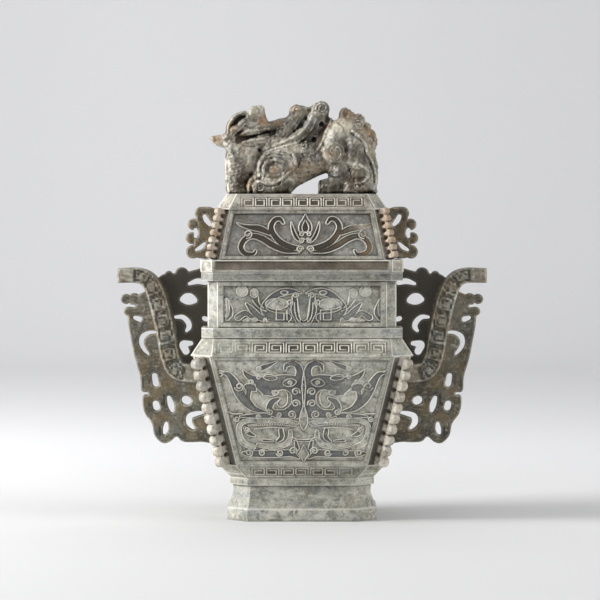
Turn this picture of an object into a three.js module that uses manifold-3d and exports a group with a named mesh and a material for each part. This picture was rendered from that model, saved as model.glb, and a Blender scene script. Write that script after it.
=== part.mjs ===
// A lidded vase carved from grey-green jade: an eight-sided vessel with sunk relief panels, lobed flanges
// down its corners and openwork handles, under a lid that carries a recumbent horned beast.
// Millimetres, +Z up, the front faces -Y, and the origin is the centre of the foot's underside.
import * as THREE from "three";
import { mergeVertices } from "three/addons/utils/BufferGeometryUtils.js";
import Module from "manifold-3d";

const wasm = await Module();
wasm.setup();

// The vessel's courses, from the foot up. Half widths run along X and half depths along Y.
const plinthHeight = 9.2;
const plinthHalfWidth = 56.7;
const plinthHalfDepth = 39;
const plinthCorner = 15.5;
const splayHeight = 9.5;
const waistHeight = 8.3;
const waistHalfWidth = 52.2;
const waistHalfDepth = 35;
const waistCorner = 13;
const torusHeight = 5.5;
const torusHalfWidth = 54.4;
const torusHalfDepth = 37.2;
const torusCorner = 13.5;
const footBandHeight = 10.5;
const footBandHalfWidth = 63.8;
const footBandHalfDepth = 44;
const footBandCorner = 14.5;
const bellyHeight = 82.1;
const bellyStep = 0.8;
const bellyTopHalfWidth = 81.5;
const bellyTopHalfDepth = 57.5;
const bellyTopCorner = 13.3;
const shoulderHeight = 13.6;
const shoulderHalfWidth = 83.6;
const shoulderHalfDepth = 59;
const shoulderCorner = 17;
const shoulderTopHalfWidth = 74.6;
const shoulderTopHalfDepth = 51;
const collarHeight = 7.3;
const collarHalfWidth = 75.3;
const collarHalfDepth = 51.7;
const collarCorner = 9;
const neckHeight = 35.3;
const neckHalfWidth = 70.8;
const neckHalfDepth = 47.5;
const neckCorner = 8.3;
const lipHeight = 6.3;
const lipHalfWidth = 75.4;
const lipHalfDepth = 52;
const lipCorner = 9;

// The hollow and the foot's underside.
const wallThickness = 7;
const floorThickness = 9;
const footRingWidth = 9;
const footRecess = 2.5;

// The lid's courses, from the rim up.
const seatGap = 0.3;
const rimHeight = 9;
const rimHalfWidth = 76;
const rimHalfDepth = 52.6;
const rimCorner = 9.2;
const slopeHeight = 37.6;
const slopeHalfWidth = 70;
const slopeHalfDepth = 47.5;
const slopeCorner = 9;
const slopeTopHalfWidth = 62.5;
const slopeTopHalfDepth = 42;
const capHeight = 11.8;
const capHalfWidth = 64.5;
const capHalfDepth = 44;
const capCorner = 10;
const capTopHalfWidth = 56.8;
const capTopHalfDepth = 37;
const capTopCorner = 8.5;
const lidRoof = 9;
const tenonDepth = 7;
const tenonWall = 5;
const tenonPlay = 0.6;

// The sunk panels with their relief.
const panelSink = 1.2;
const panelMargin = 3.2;
const neckPanelMargin = 4;
const rimPanelMargin = 1.8;

// The lobed flanges on the corners.
const flangeThickness = 6.4;
const flangeReach = 10.4;
const flangeLobes = 10;
const lidFlangeThickness = 4.8;
const lidFlangeReach = 8.6;
const lidFlangeLobes = 7;
const lobeSides = 3;

// The openwork handles: a pierced plate with a heavy bent bar through it.
const plateThickness = 9;
const barWidth = 14;
const barDepth = 19;
const barEndWidth = 11.4;
const handleRise = 187.5;
const ornamentThickness = 8;
const ornamentHeight = 38.7;

// The beast on the lid.
const beastHeight = 73.6;

const level = {};
level.plinthTop = plinthHeight;
level.waistFoot = level.plinthTop + splayHeight;
level.waistTop = level.waistFoot + waistHeight;
level.torusTop = level.waistTop + torusHeight;
level.bellyFoot = level.torusTop + footBandHeight;
level.bellyTop = level.bellyFoot + bellyHeight;
level.shoulderTop = level.bellyTop + shoulderHeight;
level.neckFoot = level.shoulderTop + collarHeight;
level.neckTop = level.neckFoot + neckHeight;
level.lipTop = level.neckTop + lipHeight;
level.rimFoot = level.lipTop + seatGap;
level.slopeFoot = level.rimFoot + rimHeight;
level.slopeTop = level.slopeFoot + slopeHeight;
level.capTop = level.slopeTop + capHeight;

// A course's outline at one level: a rectangle with its four corners cut at 45 degrees.
const outline = (z, halfWidth, halfDepth, corner) => ({ z, halfWidth, halfDepth, corner });

// The same outline taken in by a wall's thickness.
const takenIn = (course, by, z = course.z) =>
  outline(z, course.halfWidth - by, course.halfDepth - by, Math.max(course.corner - by * (2 - Math.SQRT2), 1));

const belly = {
  foot: outline(level.bellyFoot, footBandHalfWidth - bellyStep, footBandHalfDepth - bellyStep, footBandCorner),
  top: outline(level.bellyTop, bellyTopHalfWidth, bellyTopHalfDepth, bellyTopCorner),
};
const neck = {
  foot: outline(level.neckFoot, neckHalfWidth, neckHalfDepth, neckCorner),
  top: outline(level.neckTop, neckHalfWidth, neckHalfDepth, neckCorner),
};
const lidSlope = {
  foot: outline(level.slopeFoot, slopeHalfWidth, slopeHalfDepth, slopeCorner),
  top: outline(level.slopeTop, slopeTopHalfWidth, slopeTopHalfDepth, slopeCorner),
};
const lidRim = {
  foot: outline(level.rimFoot, rimHalfWidth, rimHalfDepth, rimCorner),
  top: outline(level.slopeFoot, rimHalfWidth, rimHalfDepth, rimCorner),
};

function cornersOf({ z, halfWidth: w, halfDepth: d, corner: c }) {
  const plan = [
    [w - c, -d],
    [w, -d + c],
    [w, d - c],
    [w - c, d],
    [-w + c, d],
    [-w, d - c],
    [-w, -d + c],
    [-w + c, -d],
  ];
  return plan.map(([x, y]) => new THREE.Vector3(x, y, z));
}

// A closed body through rings of points, each ring anticlockwise seen from the end it runs towards.
function skin(rings) {
  const count = rings[0].length;
  const indices = [];
  for (let r = 0; r + 1 < rings.length; r++) {
    for (let i = 0; i < count; i++) {
      const a = r * count + i;
      const b = r * count + ((i + 1) % count);
      indices.push(a, b, b + count, a, b + count, a + count);
    }
  }
  const last = (rings.length - 1) * count;
  for (let i = 1; i + 1 < count; i++) {
    indices.push(0, i + 1, i);
    indices.push(last, last + i, last + i + 1);
  }
  return new THREE.BufferGeometry().setFromPoints(rings.flat()).setIndex(indices);
}

const courses = (...outlines) => skin(outlines.map(cornersOf));

// A closed geometry, moved by a matrix, as a solid that can be joined and cut.
function solid(geometry, matrix = new THREE.Matrix4()) {
  const moved = new THREE.BufferGeometry();
  moved.setAttribute("position", geometry.getAttribute("position").clone());
  if (geometry.index) moved.setIndex(geometry.index.clone());
  moved.applyMatrix4(matrix);
  const merged = mergeVertices(moved, 1e-4);
  const triVerts = new Uint32Array(merged.index.array);
  if (matrix.determinant() < 0) triVerts.reverse();
  return new wasm.Manifold(
    new wasm.Mesh({ numProp: 3, vertProperties: merged.attributes.position.array, triVerts }),
  );
}

const joined = (solids) => solids.reduce((sum, next) => sum.add(next));

function geometryOf(made) {
  const mesh = made.getMesh();
  const geometry = new THREE.BufferGeometry();
  geometry.setAttribute("position", new THREE.BufferAttribute(mesh.vertProperties, 3));
  geometry.setIndex(new THREE.BufferAttribute(mesh.triVerts, 1));
  geometry.computeVertexNormals();
  return geometry;
}

const extruded = (shape, depth, curveSegments = 2) =>
  new THREE.ExtrudeGeometry(shape, { depth, bevelEnabled: false, curveSegments });

// The front face between two outlines as a flat frame: U to the right, V up the slope, and out of the face.
function frontFace(foot, top) {
  const rise = new THREE.Vector3(0, foot.halfDepth - top.halfDepth, top.z - foot.z);
  const length = rise.length();
  const up = rise.clone().normalize();
  const right = new THREE.Vector3(1, 0, 0);
  const out = right.clone().cross(up);
  const frame = new THREE.Matrix4().makeBasis(right, up, out).setPosition(0, -foot.halfDepth, foot.z);
  return {
    frame,
    length,
    footHalf: foot.halfWidth - foot.corner,
    topHalf: top.halfWidth - top.corner,
  };
}

const halfTurn = new THREE.Matrix4().makeRotationZ(Math.PI);
const mirror = new THREE.Matrix4().makeScale(-1, 1, 1);

// The panel's field, which is cut into the face as deep as the sink.
function panelField(face, margin) {
  const leanPerRise = (face.topHalf - face.footHalf) / face.length;
  const half = (v) => face.footHalf + leanPerRise * v - margin;
  const top = face.length - margin;
  const field = new THREE.Shape();
  field.moveTo(-half(margin), margin);
  field.lineTo(half(margin), margin);
  field.lineTo(half(top), top);
  field.lineTo(-half(top), top);
  const proud = 2;
  const place = new THREE.Matrix4().makeTranslation(0, 0, -panelSink);
  return solid(extruded(field, panelSink + proud), face.frame.clone().multiply(place));
}

// A ribbon: a band of changing width along a few points [u, v, halfWidth], closed in a smooth outline.
function ribbon(points) {
  const path = points.map(([u, v]) => new THREE.Vector2(u, v));
  const left = [];
  const right = [];
  points.forEach(([, , halfWidth], i) => {
    const ahead = path[Math.min(i + 1, path.length - 1)];
    const behind = path[Math.max(i - 1, 0)];
    const along = ahead.clone().sub(behind).normalize();
    const across = new THREE.Vector2(-along.y, along.x).multiplyScalar(halfWidth);
    left.push(path[i].clone().add(across));
    right.unshift(path[i].clone().sub(across));
  });
  return new THREE.Shape([...right, ...left]);
}

// The relief of one panel: ribbons on both sides of the panel's middle line, and single ones on it.
// All are shares of the panel's height, measured from the middle of its foot.
function relief(face, pairs, singles) {
  const root = panelSink / 2;
  const place = new THREE.Matrix4().makeTranslation(0, 0, -panelSink - root);
  const frame = face.frame.clone().multiply(place);
  const height = face.length;
  const sized = (points) => points.map((point) => point.map((share) => share * height));
  const raised = (points, matrix) => solid(extruded(ribbon(sized(points)), panelSink + root), matrix);
  return joined([
    ...pairs.map((points) => raised(points, frame)),
    ...pairs.map((points) => raised(points, frame.clone().multiply(mirror))),
    ...singles.map((points) => raised(points, frame)),
  ]);
}

// Two confronted dragons over a mask with great eyes.
const maskPairs = [
  [[0.03, 0.86, 0.035], [0.09, 0.945, 0.026], [0.16, 0.9, 0.014]],
  [[0.04, 0.79, 0.035], [0.18, 0.79, 0.06], [0.34, 0.8, 0.055], [0.53, 0.88, 0.01]],
  [[0.1, 0.73, 0.02], [0.1, 0.55, 0.02]],
  [[0.73, 0.86, 0.02], [0.63, 0.74, 0.05], [0.5, 0.57, 0.035], [0.38, 0.51, 0.012]],
  [[0.07, 0.46, 0.022], [0.62, 0.46, 0.022]],
  [[0.18, 0.33, 0.024], [0.2, 0.2, 0.026], [0.38, 0.2, 0.026], [0.41, 0.31, 0.02]],
  [[0.3, 0.32, 0.04], [0.3, 0.25, 0.05]],
  [[0.08, 0.105, 0.03], [0.46, 0.11, 0.03]],
];
const maskSingles = [
  [[0, 0.84, 0.008], [0, 0.55, 0.012], [0, 0.45, 0.04], [0, 0.34, 0.006]],
  [[0, 0.27, 0.012], [0, 0.2, 0.1], [0, 0.16, 0.012]],
  [[0, 0.15, 0.004], [0, 0.1, 0.04], [0, 0.045, 0.004]],
];

// Two birds' heads, beak to beak, with feathered necks.
const neckPairs = [
  [[0.16, 0.8, 0.05], [0.5, 0.82, 0.09], [0.84, 0.6, 0.05]],
  [[0.3, 0.3, 0.08], [0.85, 0.34, 0.09], [1.2, 0.62, 0.04]],
  [[0.4, 0.53, 0.075], [0.66, 0.53, 0.03]],
  [[1.34, 0.3, 0.07], [1.54, 0.44, 0.07], [1.56, 0.68, 0.06]],
];
const neckSingles = [[[0, 0.86, 0.12], [0, 0.5, 0.1], [0, 0.16, 0.03]]];

// A bud between petals, with long leaves that scroll to both sides.
const leafPairs = [
  [[0.09, 0.36, 0.02], [0.17, 0.55, 0.045], [0.2, 0.78, 0.01]],
  [[0.03, 0.18, 0.04], [0.32, 0.2, 0.06], [0.53, 0.46, 0.06], [0.5, 0.76, 0.05]],
  [[0.46, 0.18, 0.05], [0.78, 0.48, 0.05], [1.08, 0.26, 0.05]],
  [[0.68, 0.7, 0.06], [1.2, 0.74, 0.012]],
];
const leafSingles = [[[0, 0.3, 0.01], [0, 0.6, 0.08], [0, 0.92, 0.006]]];

// One corner flange: a plate that stands out diagonally along a corner, its edge cut into round lobes.
function cornerFlange(foot, top, signX, signY, reach, thickness, lobes) {
  const middle = ({ z, halfWidth, halfDepth, corner }) =>
    new THREE.Vector3(signX * (halfWidth - corner / 2), signY * (halfDepth - corner / 2), z);
  const start = middle(foot);
  const along = middle(top).sub(start);
  const length = along.length();
  along.normalize();
  const out = new THREE.Vector3(signX, signY, 0).normalize();
  out.addScaledVector(along, -out.dot(along)).normalize();
  const side = along.clone().cross(out);
  const embed = wallThickness / 3;
  const pitch = length / lobes;
  const radius = pitch / 2;
  const edge = new THREE.Shape();
  edge.moveTo(0, -embed);
  edge.lineTo(length, -embed);
  edge.lineTo(length, reach - radius);
  for (let i = 0; i < lobes; i++) {
    edge.absarc(length - (i + 0.5) * pitch, reach - radius, radius, 0, Math.PI, false);
  }
  const frame = new THREE.Matrix4().makeBasis(along, out, side).setPosition(start);
  frame.multiply(new THREE.Matrix4().makeTranslation(0, 0, -thickness / 2));
  return solid(extruded(edge, thickness, lobeSides), frame);
}

function cornerFlanges(foot, top, reach, thickness, lobes) {
  const corners = [
    [1, 1],
    [1, -1],
    [-1, 1],
    [-1, -1],
  ];
  return joined(
    corners.map(([signX, signY]) => cornerFlange(foot, top, signX, signY, reach, thickness, lobes)),
  );
}

// Openings in the plates, each clear through: a long hole between two points, and one bent to an arc.
function slot([fromX, fromZ], [toX, toZ], radius) {
  const turn = Math.atan2(toZ - fromZ, toX - fromX);
  const hole = new THREE.Shape();
  hole.absarc(toX, toZ, radius, turn - Math.PI / 2, turn + Math.PI / 2, false);
  hole.absarc(fromX, fromZ, radius, turn + Math.PI / 2, turn + 1.5 * Math.PI, false);
  return hole;
}

function hook([x, z], radius, fromDegrees, toDegrees, halfWidth) {
  const from = THREE.MathUtils.degToRad(fromDegrees);
  const to = THREE.MathUtils.degToRad(toDegrees);
  const hole = new THREE.Shape();
  hole.absarc(x, z, radius + halfWidth, from, to, false);
  hole.absarc(x + radius * Math.cos(to), z + radius * Math.sin(to), halfWidth, to, to + Math.PI, false);
  hole.absarc(x, z, radius - halfWidth, to, from, true);
  hole.absarc(x + radius * Math.cos(from), z + radius * Math.sin(from), halfWidth, from + Math.PI, from, false);
  return hole;
}

// A flat plate in the XZ plane, centred on Y, with lobes added on its edge and holes cut through.
function piercedPlate(edge, lobes, holes, thickness) {
  const upright = new THREE.Matrix4().makeRotationX(Math.PI / 2);
  upright.setPosition(0, thickness / 2, 0);
  const proud = new THREE.Matrix4().makeRotationX(Math.PI / 2);
  proud.setPosition(0, thickness, 0);
  const discs = lobes.map(([x, z, radius]) => {
    const disc = new THREE.CylinderGeometry(radius, radius, thickness, 6);
    return solid(disc, new THREE.Matrix4().makeTranslation(x, 0, z));
  });
  const body = joined([solid(extruded(edge, thickness), upright), ...discs]);
  const cuts = joined(holes.map((hole) => solid(extruded(hole, 2 * thickness), proud)));
  return body.subtract(cuts);
}

// The handles are drawn from the collar's side and from the lip's top, at this rise. Every point and radius
// follows the real rise.
const drawnRise = 187.5;
const handleScale = handleRise / drawnRise;
const handlePoint = (x, z) => [
  collarHalfWidth + (x - 75.3) * handleScale,
  level.lipTop + (z - 187.7) * handleScale,
];

// The right handle's plate.
function handlePlate() {
  const at = handlePoint;
  const rooted = neckHalfWidth - wallThickness / 2;
  const bellyRoot = belly.foot.halfWidth - wallThickness / 2;
  const edge = new THREE.Shape();
  const points = [
    [92, 187], [104, 186], [118, 176], [127, 168], [133, 151], [131.5, 128], [124.5, 105], [123.7, 95], [122, 84],
    [118.5, 73.5], [114, 70], [113.5, 62], [109, 56], [101, 57], [95.7, 61], [91, 57.2], [79, 57.5],
  ];
  edge.moveTo(rooted, level.lipTop - lipHeight / 2);
  points.forEach(([x, z]) => edge.lineTo(...at(x, z)));
  edge.lineTo(bellyRoot, at(0, 60)[1]);
  edge.lineTo(bellyTopHalfWidth - wallThickness / 2, level.bellyTop);
  edge.lineTo(rooted, level.neckFoot);
  const lobes = [
    [80.5, 184.5, 4.2], [92, 185.5, 5.2], [102, 185.5, 2.6], [128.5, 166.5, 4.4], [134.8, 166.4, 3.9],
    [132.8, 156.8, 3.4],
  ];
  const slots = [
    [[76, 178.6], [86.5, 178], 1.9],
    [[83.5, 165.6], [89.3, 166], 3.2],
    [[73.5, 150], [74.4, 151.8], 1.8],
    [[89, 126.6], [89.4, 131.4], 3.9],
    [[124.6, 151.2], [127.4, 151.4], 2],
    [[113.4, 140.8], [122.2, 137.2], 1.7],
    [[123, 136.6], [119.4, 125.6], 1.8],
    [[113, 106.8], [112.3, 101.8], 3],
    [[111.4, 83.6], [112.2, 85.4], 3.1],
    [[101.5, 90], [99.7, 82], 2.4],
    [[88.3, 88.4], [88.7, 88.9], 3.2],
    [[86.2, 75.4], [84.2, 68.6], 2.2],
    [[85.6, 76.2], [76.2, 78.4], 2],
    [[104.5, 69.4], [105.2, 65.2], 1.9],
    [[118.6, 94], [126, 93.6], 1],
    [[128.6, 161], [138, 161.8], 1.1],
  ];
  const holes = slots.map(([from, to, radius]) => slot(at(...from), at(...to), radius * handleScale));
  holes.push(hook(at(88.5, 145), 7.6 * handleScale, -10, 88, 1.7 * handleScale));
  const discs = lobes.map(([x, z, radius]) => [...at(x, z), radius * handleScale]);
  return piercedPlate(edge, discs, holes, plateThickness);
}

// The bent bar: it leaves the body under the shoulder, leans outwards as it climbs, and turns out level on top.
function handleBar() {
  const at = (x, z) => {
    const [right, up] = handlePoint(x, z);
    return new THREE.Vector3(right, 0, up);
  };
  const path = new THREE.CatmullRomCurve3([
    at(71, 110),
    at(88, 110.2),
    at(96.5, 113.5),
    at(101, 124),
    at(103.6, 138),
    at(107, 154),
    at(111.2, 169),
    at(116.5, 180),
    at(125, 184.4),
    at(141, 184.4),
  ]);
  const steps = 8;
  const flat = 0.85;
  const rings = [];
  for (let i = 0; i <= steps; i++) {
    const share = i / steps;
    const centre = path.getPoint(share);
    const along = path.getTangent(share);
    const across = new THREE.Vector3(-along.z, 0, along.x);
    const half = THREE.MathUtils.lerp(barWidth, barEndWidth, THREE.MathUtils.smoothstep(share, 0.65, 0.85)) / 2;
    const section = [
      [flat * half, -barDepth / 2],
      [-flat * half, -barDepth / 2],
      [-half, 0],
      [-flat * half, barDepth / 2],
      [flat * half, barDepth / 2],
      [half, 0],
    ];
    rings.push(
      section.map(([a, y]) => centre.clone().addScaledVector(across, a).add(new THREE.Vector3(0, y, 0))),
    );
  }
  return solid(skin(rings));
}

// The right handle's plate and bar, and the same mirrored on the left.
function handles() {
  const right = handlePlate().add(handleBar());
  const left = solid(geometryOf(right), mirror);
  return right.add(left);
}

function vase() {
  const outer = courses(
    outline(0, plinthHalfWidth, plinthHalfDepth, plinthCorner),
    outline(level.plinthTop, plinthHalfWidth, plinthHalfDepth, plinthCorner),
    outline(level.waistFoot, waistHalfWidth, waistHalfDepth, waistCorner),
    outline(level.waistTop, waistHalfWidth, waistHalfDepth, waistCorner),
    outline(level.waistTop, torusHalfWidth, torusHalfDepth, torusCorner),
    outline(level.torusTop, torusHalfWidth, torusHalfDepth, torusCorner),
    outline(level.bellyFoot, footBandHalfWidth, footBandHalfDepth, footBandCorner),
    belly.foot,
    belly.top,
    outline(level.bellyTop, shoulderHalfWidth, shoulderHalfDepth, shoulderCorner),
    outline(level.shoulderTop, shoulderTopHalfWidth, shoulderTopHalfDepth, collarCorner),
    outline(level.shoulderTop, collarHalfWidth, collarHalfDepth, collarCorner),
    outline(level.neckFoot, collarHalfWidth, collarHalfDepth, collarCorner),
    neck.foot,
    neck.top,
    outline(level.neckTop, lipHalfWidth, lipHalfDepth, lipCorner),
    outline(level.lipTop, lipHalfWidth, lipHalfDepth, lipCorner),
  );
  const floor = level.waistTop + floorThickness;
  const open = 1;
  const hollow = courses(
    takenIn(outline(floor, torusHalfWidth, torusHalfDepth, torusCorner), wallThickness),
    takenIn(belly.foot, wallThickness),
    takenIn(belly.top, wallThickness),
    takenIn(neck.foot, wallThickness, level.shoulderTop),
    takenIn(neck.top, wallThickness, level.lipTop + open),
  );
  const underside = outline(-open, plinthHalfWidth, plinthHalfDepth, plinthCorner);
  const recess = courses(takenIn(underside, footRingWidth), takenIn(underside, footRingWidth, footRecess));
  const bellyFace = frontFace(belly.foot, belly.top);
  const neckFace = frontFace(neck.foot, neck.top);
  const turned = (made) => made.add(solid(geometryOf(made), halfTurn));
  const fields = turned(panelField(bellyFace, panelMargin).add(panelField(neckFace, neckPanelMargin)));
  const carving = turned(
    relief(bellyFace, maskPairs, maskSingles).add(relief(neckFace, neckPairs, neckSingles)),
  );
  return solid(outer)
    .subtract(fields)
    .add(carving)
    .add(cornerFlanges(belly.foot, belly.top, flangeReach, flangeThickness, flangeLobes))
    .add(handles())
    .subtract(solid(hollow))
    .subtract(solid(recess));
}

// The small pierced ornament on the lid's right side: four lobes in a row, drawn from the slope's foot.
function sideOrnament() {
  const drawnHeight = 38.7;
  const scale = ornamentHeight / drawnHeight;
  const at = (x, z) => [slopeHalfWidth + (x - 70) * scale, level.slopeFoot + (z - 197.3) * scale];
  const rooted = slopeTopHalfWidth - wallThickness / 2;
  const edge = new THREE.Shape();
  edge.moveTo(rooted, level.slopeTop - panelMargin);
  [[70, 236], [78, 236], [81, 228], [82, 216], [83.5, 202], [79, 198]].forEach(([x, z]) => {
    edge.lineTo(...at(x, z));
  });
  edge.lineTo(slopeHalfWidth - wallThickness / 2, level.slopeFoot + panelMargin / 2);
  const lobes = [[77.2, 231.6, 4.5], [83.6, 223.2, 3.7], [85.2, 213.4, 4], [83.4, 202.6, 5.2]];
  const slots = [
    [[74.2, 228], [71.8, 224.6], 1.5],
    [[81, 219.2], [81.2, 215.2], 1.7],
    [[80.4, 204.4], [74.4, 208.6], 1.3],
  ];
  const holes = slots.map(([from, to, radius]) => slot(at(...from), at(...to), radius * scale));
  const discs = lobes.map(([x, z, radius]) => [...at(x, z), radius * scale]);
  return piercedPlate(edge, discs, holes, ornamentThickness);
}

// The beast is carved from flat, round-edged cushions for its outline and from limbs and rounded masses on
// both flanks. All are in hundredths of its height: x from the lid's middle, y towards the back, z up.
const share = beastHeight / 100;
const perch = (x, y, z) => new THREE.Vector3(x * share, y * share, level.capTop + z * share);

// A cushion: an outline given anticlockwise from the front, as thick as two half depths, its edges rounded.
function cushion(points, halfDepth, edge) {
  const shape = new THREE.Shape(points.map(([x, z]) => new THREE.Vector2(x, z)));
  const pad = new THREE.ExtrudeGeometry(shape, {
    depth: 2 * (halfDepth - edge),
    bevelThickness: edge,
    bevelSize: 0.8 * edge,
    bevelOffset: -0.8 * edge,
    bevelSegments: 1,
  });
  pad.translate(0, 0, edge - halfDepth).rotateX(Math.PI / 2);
  const place = new THREE.Matrix4().setPosition(perch(0, 0, 0));
  return solid(pad, place.multiply(new THREE.Matrix4().makeScale(share, share, share)));
}

// A limb through points [x, y, z, radius], with blunt ends.
function limb(points) {
  const sides = 5;
  const centres = points.map(([x, y, z]) => perch(x, y, z));
  const rings = [];
  const ring = (centre, along, radius) => {
    const sideways = new THREE.Vector3(0, 1, 0).addScaledVector(along, -along.y).normalize();
    const upwards = along.clone().cross(sideways);
    rings.push(
      Array.from({ length: sides }, (_, i) => {
        const angle = (2 * Math.PI * i) / sides;
        return centre
          .clone()
          .addScaledVector(sideways, Math.cos(angle) * radius)
          .addScaledVector(upwards, Math.sin(angle) * radius);
      }),
    );
  };
  const radii = points.map(([, , , radius]) => radius * share);
  const last = points.length - 1;
  const startAlong = centres[1].clone().sub(centres[0]).normalize();
  const endAlong = centres[last].clone().sub(centres[last - 1]).normalize();
  ring(centres[0].clone().addScaledVector(startAlong, -0.7 * radii[0]), startAlong, 0.6 * radii[0]);
  centres.forEach((centre, i) => {
    const along = centres[Math.min(i + 1, last)].clone().sub(centres[Math.max(i - 1, 0)]).normalize();
    ring(centre, along, radii[i]);
  });
  ring(centres[last].clone().addScaledVector(endAlong, 0.7 * radii[last]), endAlong, 0.6 * radii[last]);
  return solid(skin(rings));
}

// A rounded mass with its three half sizes.
function mass([x, y, z], [halfX, halfY, halfZ], around, over) {
  const ball = new THREE.SphereGeometry(1, around, over);
  const size = new THREE.Matrix4().makeScale(halfX * share, halfY * share, halfZ * share);
  return solid(ball, new THREE.Matrix4().setPosition(perch(x, y, z)).multiply(size));
}

// A volute: a limb that winds in on the beast's side.
function volute([x, y, z], outer, inner, startDegrees, turns, radius) {
  const steps = Math.round(turns * 6);
  const points = Array.from({ length: steps + 1 }, (_, i) => {
    const gone = i / steps;
    const angle = THREE.MathUtils.degToRad(startDegrees) + gone * turns * 2 * Math.PI;
    const reach = THREE.MathUtils.lerp(outer, inner, gone);
    return [x + reach * Math.cos(angle), y, z + reach * Math.sin(angle), radius];
  });
  return limb(points);
}

const breastOutline = [
  [-52, -1.5], [-46, 30], [-40, 42], [-44, 56], [-62, 62], [-81, 56], [-83, 44], [-81, 28], [-79, 11], [-74, -1.5],
];
const headOutline = [
  [-50, 34], [-36, 50], [-33, 60], [-36, 65], [-62, 56], [-60, 61], [-34, 68], [-34, 79],
  [-38, 87], [-41, 93], [-48, 95], [-55, 91], [-58, 86.5], [-65, 87], [-72, 84], [-78, 73], [-82, 62], [-80, 44],
];
const trunkOutline = [
  [-12, -1.5], [-12, 4], [-5, 9.5], [13, 20], [25, 25], [28, 22], [19, 17.5], [17, 13], [17, -1.5],
  [72, -1.5], [79, 11], [80, 23], [78, 34], [72, 48], [65, 64], [54, 74], [40, 78], [27, 74],
  [14, 58], [-10, 52], [-44, 44], [-56, 24], [-55, -1.5],
];
const sprayOutline = [
  [-12, 46], [8, 45], [20, 55], [29, 70], [31, 81], [27, 82], [29, 90], [27, 96], [21, 99.7],
  [13, 97], [8, 91], [3, 94], [-4, 96.5], [-11, 92], [-17, 82], [-28, 80], [-36, 78], [-36, 66], [-40, 52],
];
const tailOutline = [
  [36, 70], [52, 70], [62, 62], [66, 50], [70, 44], [76, 48], [79, 57], [76, 66], [69, 70],
  [67, 77], [60, 80], [55, 88], [47, 90.5], [41, 87],
];

function beast() {
  const bothSides = (make) => [make(-1), make(1)];
  return joined([
    cushion(breastOutline, 21, 9),
    cushion(headOutline, 18, 5),
    cushion(trunkOutline, 25, 7),
    cushion(sprayOutline, 15, 4),
    cushion(tailOutline, 13, 4),
    ...bothSides((side) => limb([[-78, side * 9, 56, 7], [-94, side * 11, 59, 1.6]])),
    ...bothSides((side) => mass([-25, side * 19, 33], [20, 15, 18], 8, 4)),
    ...bothSides((side) => volute([-25, side * 28.5, 33], 13, 5, 250, 1.2, 4.2)),
    ...bothSides((side) => limb([[-12, side * 23, 18, 9], [-46, side * 24, 8, 8]])),
    ...bothSides((side) => mass([50, side * 17, 34], [29, 18, 38], 8, 5)),
    ...bothSides((side) => mass([32, side * 28, 45], [11, 7, 11], 7, 4)),
    ...bothSides((side) => limb([[29, side * 24, 22, 12], [28, side * 24, 6, 11]])),
    ...bothSides((side) => limb([[66, side * 24, 12, 11], [56, side * 26, 7, 8]])),
  ]);
}

function lid() {
  const underMouth = outline(level.lipTop - tenonDepth, neckHalfWidth, neckHalfDepth, neckCorner);
  const tenon = takenIn(underMouth, wallThickness + tenonPlay);
  const tenonHole = takenIn(tenon, tenonWall, tenon.z - 1);
  const outer = courses(
    tenon,
    { ...tenon, z: level.rimFoot },
    lidRim.foot,
    lidRim.top,
    lidSlope.foot,
    lidSlope.top,
    outline(level.slopeTop, capHalfWidth, capHalfDepth, capCorner),
    outline(level.capTop, capTopHalfWidth, capTopHalfDepth, capTopCorner),
  );
  const hollow = courses(
    tenonHole,
    { ...tenonHole, z: level.slopeFoot },
    takenIn(lidSlope.top, tenonWall + wallThickness, level.capTop - lidRoof),
  );
  const slopeFace = frontFace(lidSlope.foot, lidSlope.top);
  const rimFace = frontFace(lidRim.foot, lidRim.top);
  const turned = (made) => made.add(solid(geometryOf(made), halfTurn));
  const fields = turned(panelField(slopeFace, panelMargin).add(panelField(rimFace, rimPanelMargin)));
  const ornament = sideOrnament();
  const ornaments = ornament.add(solid(geometryOf(ornament), mirror));
  return solid(outer)
    .subtract(fields)
    .add(turned(relief(slopeFace, leafPairs, leafSingles)))
    .add(cornerFlanges(lidSlope.foot, lidSlope.top, lidFlangeReach, lidFlangeThickness, lidFlangeLobes))
    .add(ornaments)
    .add(beast())
    .subtract(solid(hollow));
}

const jade = new THREE.MeshStandardMaterial({ color: 0x8b8d7e, roughness: 0.55, metalness: 0 });
const paleJade = new THREE.MeshStandardMaterial({ color: 0x9a9686, roughness: 0.55, metalness: 0 });

const group = new THREE.Group();
const vaseMesh = new THREE.Mesh(geometryOf(vase()), jade);
vaseMesh.name = "vase";
const lidMesh = new THREE.Mesh(geometryOf(lid()), paleJade);
lidMesh.name = "lid";
group.add(vaseMesh, lidMesh);

export default group;
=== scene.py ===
"""A lidded vase of carved grey-green jade, dressed for its photograph.

The broad faces of the vessel and the lid are fine height fields with their relief. The handles, flanges,
ornaments and the beast are carved from distance fields. Sizes are in millimetres of the drawn vase, and
are taken to the frame's metres when each mesh is made.
"""

import math

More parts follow.
